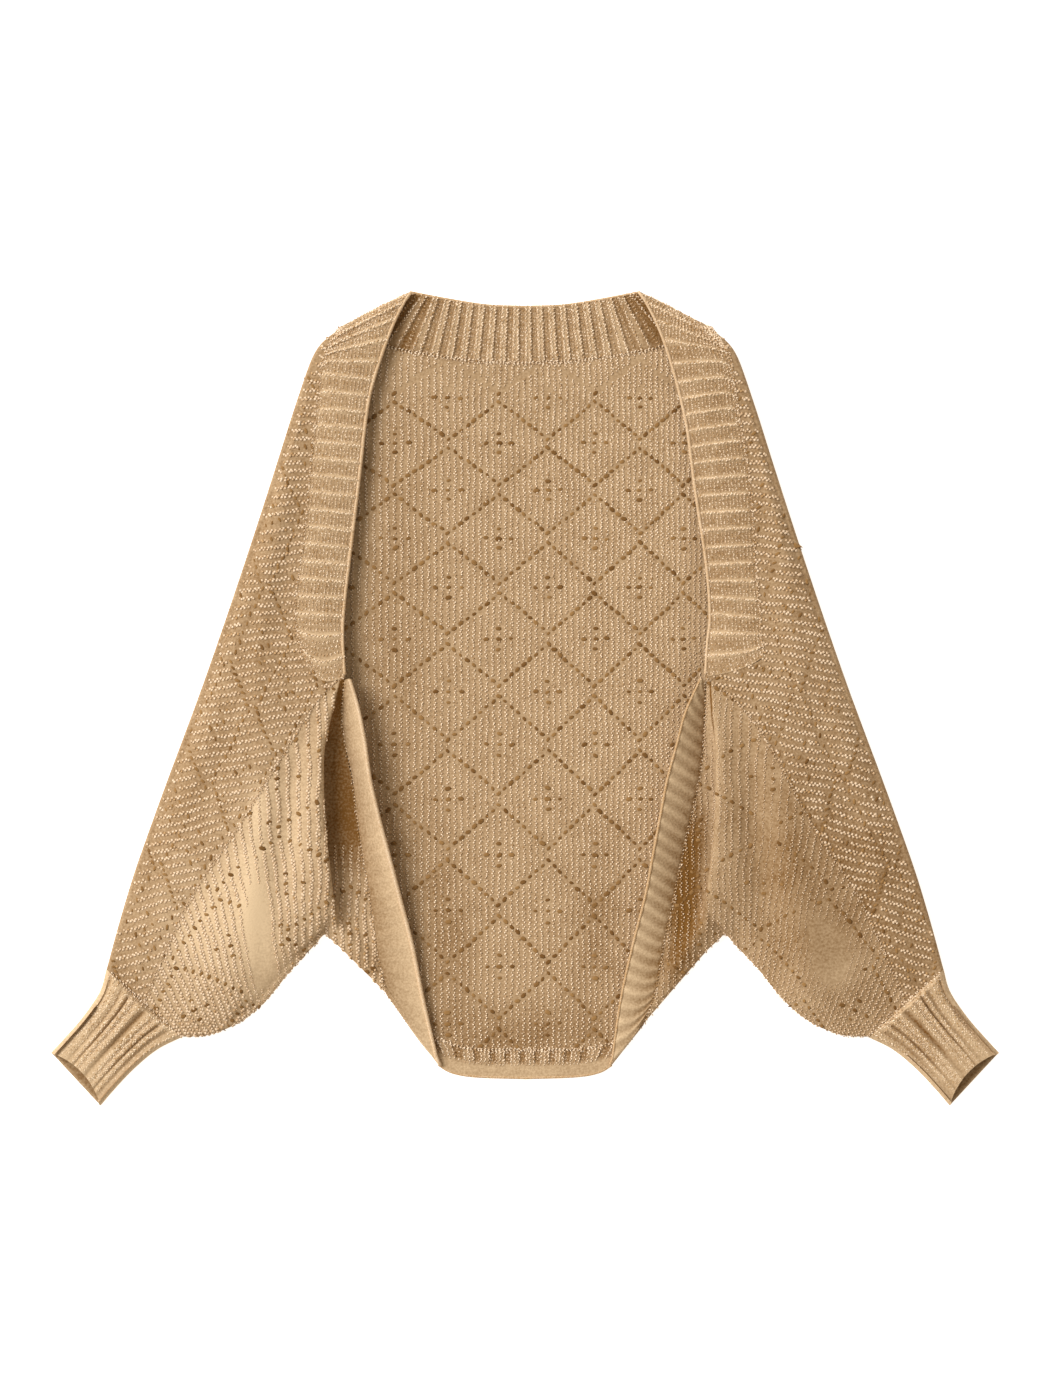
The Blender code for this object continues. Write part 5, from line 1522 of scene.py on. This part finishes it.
# The arm's columns of stitches lie nearly level. The low panel's meet at a place far below.
armStrands = {"slant": 0.16, "turn": -0.0004, "wale": 6.7, "course": 3.6}
lowFan = {"out": 185, "up": -540, "radius": 340, "wale": 6.9, "row": 4.7, "first": 4}


def strandCoords(plan):
    out, up = plan[..., 0], plan[..., 1]
    level = up + out * (armStrands["slant"] + armStrands["turn"] * up)
    return np.stack([-level / armStrands["wale"], out / armStrands["course"]], -1)


def lowCoords(plan):
    # the columns stand upright at the body, and fan out towards the cuff
    out, up = plan[..., 0] - lowFan["out"], plan[..., 1] - lowFan["up"]
    across = np.where(out > 0, np.arctan2(out, up) * lowFan["radius"], out)
    return np.stack([across / lowFan["wale"] + lowFan["first"], np.hypot(out, up) / lowFan["row"]], -1)


def unrolled(grid, turn):
    # plan places of a fold's columns as if the cloth were opened out flat
    plan = grid[..., :2].copy()
    outward = unit(plan[:, turn[-1]] - plan[:, turn[0]])
    travel = np.zeros(len(grid))
    for before, column in zip(turn, turn[1:]):
        travel = travel + np.linalg.norm(grid[:, column] - grid[:, before], axis=1)
        plan[:, column] = plan[:, turn[0]] + outward * travel[:, None]
    return plan


def makeSleeve(side, front, low):
    lines = sides[side]
    rings, normals, seamColumn, lowColumn = sleeveForm(lines, front, low)
    columns = finer(rings.transpose(1, 0, 2), cloth["spacing"], closed=True)
    rows = finer(rings, cloth["spacing"])

    def dense(grid):
        wide = spline(grid.transpose(1, 0, 2), columns, closed=True).transpose(1, 0, 2)
        return spline(wide, rows)

    def laid(points):
        return place(points, side)

    face, inside, like = dense(rings), dense(rings - normals * cloth["wall"]), dense(normals)
    face[..., 2] = face[..., 2].clip(0)
    plan = face[..., :2]
    facesDown = ease(-like[..., 2] * 2 - 1)
    level = cloth["wall"] + (backSwell(laid(inside[..., :2])) - cloth["ground"]) * facesDown
    inside[..., 2] = np.maximum(inside[..., 2] - 3 * facesDown, level)
    look = unit(gridNormals(face, True, like) + unit(like) * 0.5)
    ground = face - look * cloth["ground"] * ease((face[..., 2:] - 0.5) / 2)

    at = {
        "seam": seamColumn,
        "low": lowColumn,
        "lowEdge": lowColumn + foldEnd - 1,
        "lowFlat": lowColumn + 2 * foldEnd - 2,
        "armFlat": rings.shape[1] - foldEnd + 1,
        "arm": foldEnd - 1,
    }
    at = {name: int(np.searchsorted(columns, number)) for name, number in at.items()}
    total = len(columns)
    under = total - at["armFlat"]

    # How far the knit is felted smooth, and how light its ground is, with painted shade in the hollow's
    # valley, painted light on the low panel, and painted light and shade along the strips.
    felted = stripsOn(plan, softPatches[side])
    number = np.arange(total)[None]
    isLow = (number > at["seam"]) & (number < at["lowFlat"])
    foot, rise = sleeves["valleyUp"]
    valley = ease((plan[..., 1] - foot) / rise) * isLow
    for end, softness in sleeves["valleyRows"][side]:
        valley = valley * ease((rows[:, None] - end) / softness)
    marks = np.clip(felted + valley, 0, 1)
    feltTone, paintedValleyShade, paintedLowLight = sleeves["tones"][side]
    shade = stripsOn(plan, paintedShadingStrips[side])
    tone = sleeves["tone"] + feltTone * np.clip(felted, 0, 1) * (1 - valley)
    tone = tone + paintedValleyShade * valley + paintedLowLight * isLow
    tone = tone + shade * np.where(shade > 0, blend(0.5, 1, marks), 1)
    tones = (tone, back["tone"] + 0 * tone)
    shell = wallMesh("sleeve_" + side + "_cloth", laid(ground), laid(inside), tones, ring=True)

    def stitches(start, stop, coords, turn, style, eyelet, strands):
        order = np.arange(start, stop + 1) % total
        flat = wander(unrolled(face[:, order], turn), sleeves["unevenness"])
        grids = (laid(ground[:, order]), laid(look[:, order]), coords(flat), style, eyelet)
        return layLace(*grids, marks[:, order], shade[:, order], strands=strands(flat))

    def armLace(plan):
        return armCoords(plan, side)

    def lowStrands(plan):
        return lowCoords(plan) * sleeves["lowFiner"][side]

    armTurn = list(range(under + at["arm"], -1, -1))
    upper = stitches(-under, at["seam"], armLace, armTurn, "sleeve", sleeves["slot"], strandCoords)
    lowStop = min(at["lowEdge"] + foldEnd - 4, total)
    lowTurn = list(range(at["low"] - at["seam"], lowStop + 1 - at["seam"]))
    lowStyle = sleeves["lowStyle"][side]
    lower = stitches(at["seam"], lowStop, lowCoords, lowTurn, lowStyle, back["eyelet"], lowStrands)
    opening = np.vstack([lines.frontEdge[:, :2], lines.sideEdge[:, :2]])[::-1]

    def inOpening(spots):
        limit = np.interp(spots[:, 1], opening[:, 1], opening[:, 0])
        return np.abs(spots[:, 0]) < limit + sleeves["reach"]

    flat = laid(inside[:, at["lowFlat"] : at["armFlat"] + 1])
    upward = np.zeros_like(flat) + (0, 0, 1)
    within = layLace(flat, upward, backCoords(flat[..., :2]), "lace", back["eyelet"], keep=inOpening)
    facing = look[:, at["seam"]]
    seamLine = laid(face[:, at["seam"]] - facing * sleeves["seamDepth"])
    ridge = chainSpots(seamLine[6:], laid(facing)[6:], coursePitch)
    legs = [upper[0], lower[0], within[0], legsAt(ridge, "chain", *sleeves["seamChain"])]
    node = "sleeve_" + side
    extras = [
        yarnPiece(node + "_stitches", np.vstack(legs), "shadedArmYarn"),
        yarnPiece(node + "_eyelets", np.vstack([upper[1], lower[1], within[1]]), "hole", (8, 3)),
    ]
    loop = np.concatenate([face, face[:, :1]], axis=1)
    around = np.linalg.norm(np.diff(loop, axis=1), axis=2).sum(axis=1).max()
    length = np.linalg.norm(np.diff(face, axis=0), axis=2).sum(axis=0).mean()
    declare(shell, node, "lace_knit", (around, length), surfaceArea(face, True), extras)
    return rings[-1], normals[-1]


def makeCuff(side, ring, ringNormals):
    look = bands["cuff"]
    along = np.linspace(0, 1, look["rings"])
    places = np.linspace(0, 1, look["ribs"] * pointsPerRib + 1)
    rings, normals, topCount = cuffForm(ring, ringNormals, along, places)
    count = foldEnd - 1
    top = slice(count, topCount - count)
    turns = np.zeros(rings.shape[:2])
    turns[:, top] = places * look["ribs"]
    turns[:, :count] = -0.5
    turns[:, topCount - count :] = look["ribs"] + 0.5
    isFlat = (turns > -0.4) & (turns < look["ribs"] + 0.4)
    turns = turns + look["sway"] * np.sin(turns * 1.9 + 1) * isFlat
    gather, change = look["gather"]
    depth = gather + change * np.sin(turns * 2.7 + 2)
    start, over, most = look["openEnd"]
    ends = ease((along[:, None] - start) / over)
    fade = ease(along / look["seamFade"])[:, None] * isFlat * (1 - most * ends) * depth
    base, face = place(rings, side), place(normals, side)
    node = "cuff_" + side
    crest = 1 - (1 - np.abs(np.cos(np.pi * turns)) ** look["round"]) * fade
    lift = look["height"] * (crest - 0.6) * isFlat - cloth["ground"] * ease((base[..., 2] - 0.5) / 2)
    outer = base + face * lift[..., None]
    outer[..., 2] = outer[..., 2].clip(0)
    shade = look["sideShade"][side]
    inner = np.where(along[:, None] > 0.98, look["lip"], look["inside"]) + 0 * turns
    # the cuff's grooves are painted darker than its crests, as painted shade
    tones = (blend(look["grooveShade"], look["crest"], crest) + shade, inner)
    shell = wallMesh(node + "_cloth", outer, base - face * cloth["wall"], tones, ring=True)
    travel = np.append(0, np.cumsum(np.linalg.norm(np.diff(base[:, topCount // 2], axis=0), axis=1)))
    courses, felted = travel[:, None] + 0 * turns, (0.4 * ends + 1.5 * (1 - crest)).clip(0, 1)
    grids = [grid[:, top] for grid in (outer - face * look["legDepth"], face, turns, courses)]
    shades = felted[:, top] * 0 + look["legShade"] + shade
    legs = [bandLegs(*grids, "cuff", felted[:, top], shades)]
    size = (np.linalg.norm(np.diff(base[0], axis=0), axis=1).sum(), travel[-1])
    finishBand(shell, node, legs, size, base, closed=True)


for side in ("left", "right"):
    print(side, "rim")
    front, low = makeRim(side)
    print(side, "sleeve and cuff")
    makeCuff(side, *makeSleeve(side, front, low))


# Floor, light and camera.

stage = {
    "floor": (0.9, 0.9, 0.9, 1),
    "floorGlow": 0.8,
    "floorReach": 4.0,  # metres, as the next one
    "floorDrop": 0.0004,
    "skyColor": (1.0, 0.91, 0.77, 1),
    "sky": 0.5,
    "sun": 3.45,
    "sunFrom": (-0.85, 0.5, 0.85),
    "sunSpread": 0.6,
    "lens": 135.0,
    "frameHeight": 1.26,  # metres that the long side of the view takes in
    "centre": (0, -0.0009, 0.012),
}


def makeStage():
    reach, drop = stage["floorReach"], stage["floorDrop"]
    corners = [(x, y, -drop) for x, y in ((-reach, -reach), (reach, -reach), (reach, reach), (-reach, reach))]
    mesh = bpy.data.meshes.new("floor")
    mesh.from_pydata(corners, [], [(0, 1, 2, 3)])
    floor = addObject("floor", mesh)
    pale = bpy.data.materials.new("pale_floor")
    pale.use_nodes = True
    setInputs(pale.node_tree, pale.node_tree.nodes["Principled BSDF"], {
        "Base Color": stage["floor"],
        "Roughness": 0.9,
        "Emission Color": stage["floor"],
        "Emission Strength": stage["floorGlow"],
    })
    mesh.materials.append(pale)
    world = bpy.data.worlds.new("studio")
    bpy.context.scene.world = world
    world.use_nodes = True
    sky = {"Color": stage["skyColor"], "Strength": stage["sky"]}
    setInputs(world.node_tree, world.node_tree.nodes["Background"], sky)
    sun = bpy.data.lights.new("window", "SUN")
    sun.energy, sun.angle = stage["sun"], stage["sunSpread"]
    lamp = addObject("window", sun)
    lamp.rotation_mode = "QUATERNION"
    lamp.rotation_quaternion = Vector(stage["sunFrom"]).to_track_quat("Z", "Y")
    camera = bpy.data.cameras.new("view")
    camera.lens = stage["lens"]
    eye = addObject("view", camera)
    distance = stage["frameHeight"] * stage["lens"] / camera.sensor_width
    eye.location = Vector(stage["centre"]) + Vector((0, 0, distance))
    bpy.context.scene.camera = eye
    bpy.context.scene.view_settings.view_transform = "Standard"


makeStage()


def triangleCount(thing):
    thing.data.calc_loop_triangles()
    return len(thing.data.loop_triangles)


ends = ("_cloth", "_stitches", "_eyelets", "_edge")
counts = {thing.name: triangleCount(thing) for thing in bpy.data.objects if thing.name.endswith(ends)}
largest = max(counts, key=counts.get)
print("stage set, triangles", sum(counts.values()), "with", counts[largest], "in", largest)
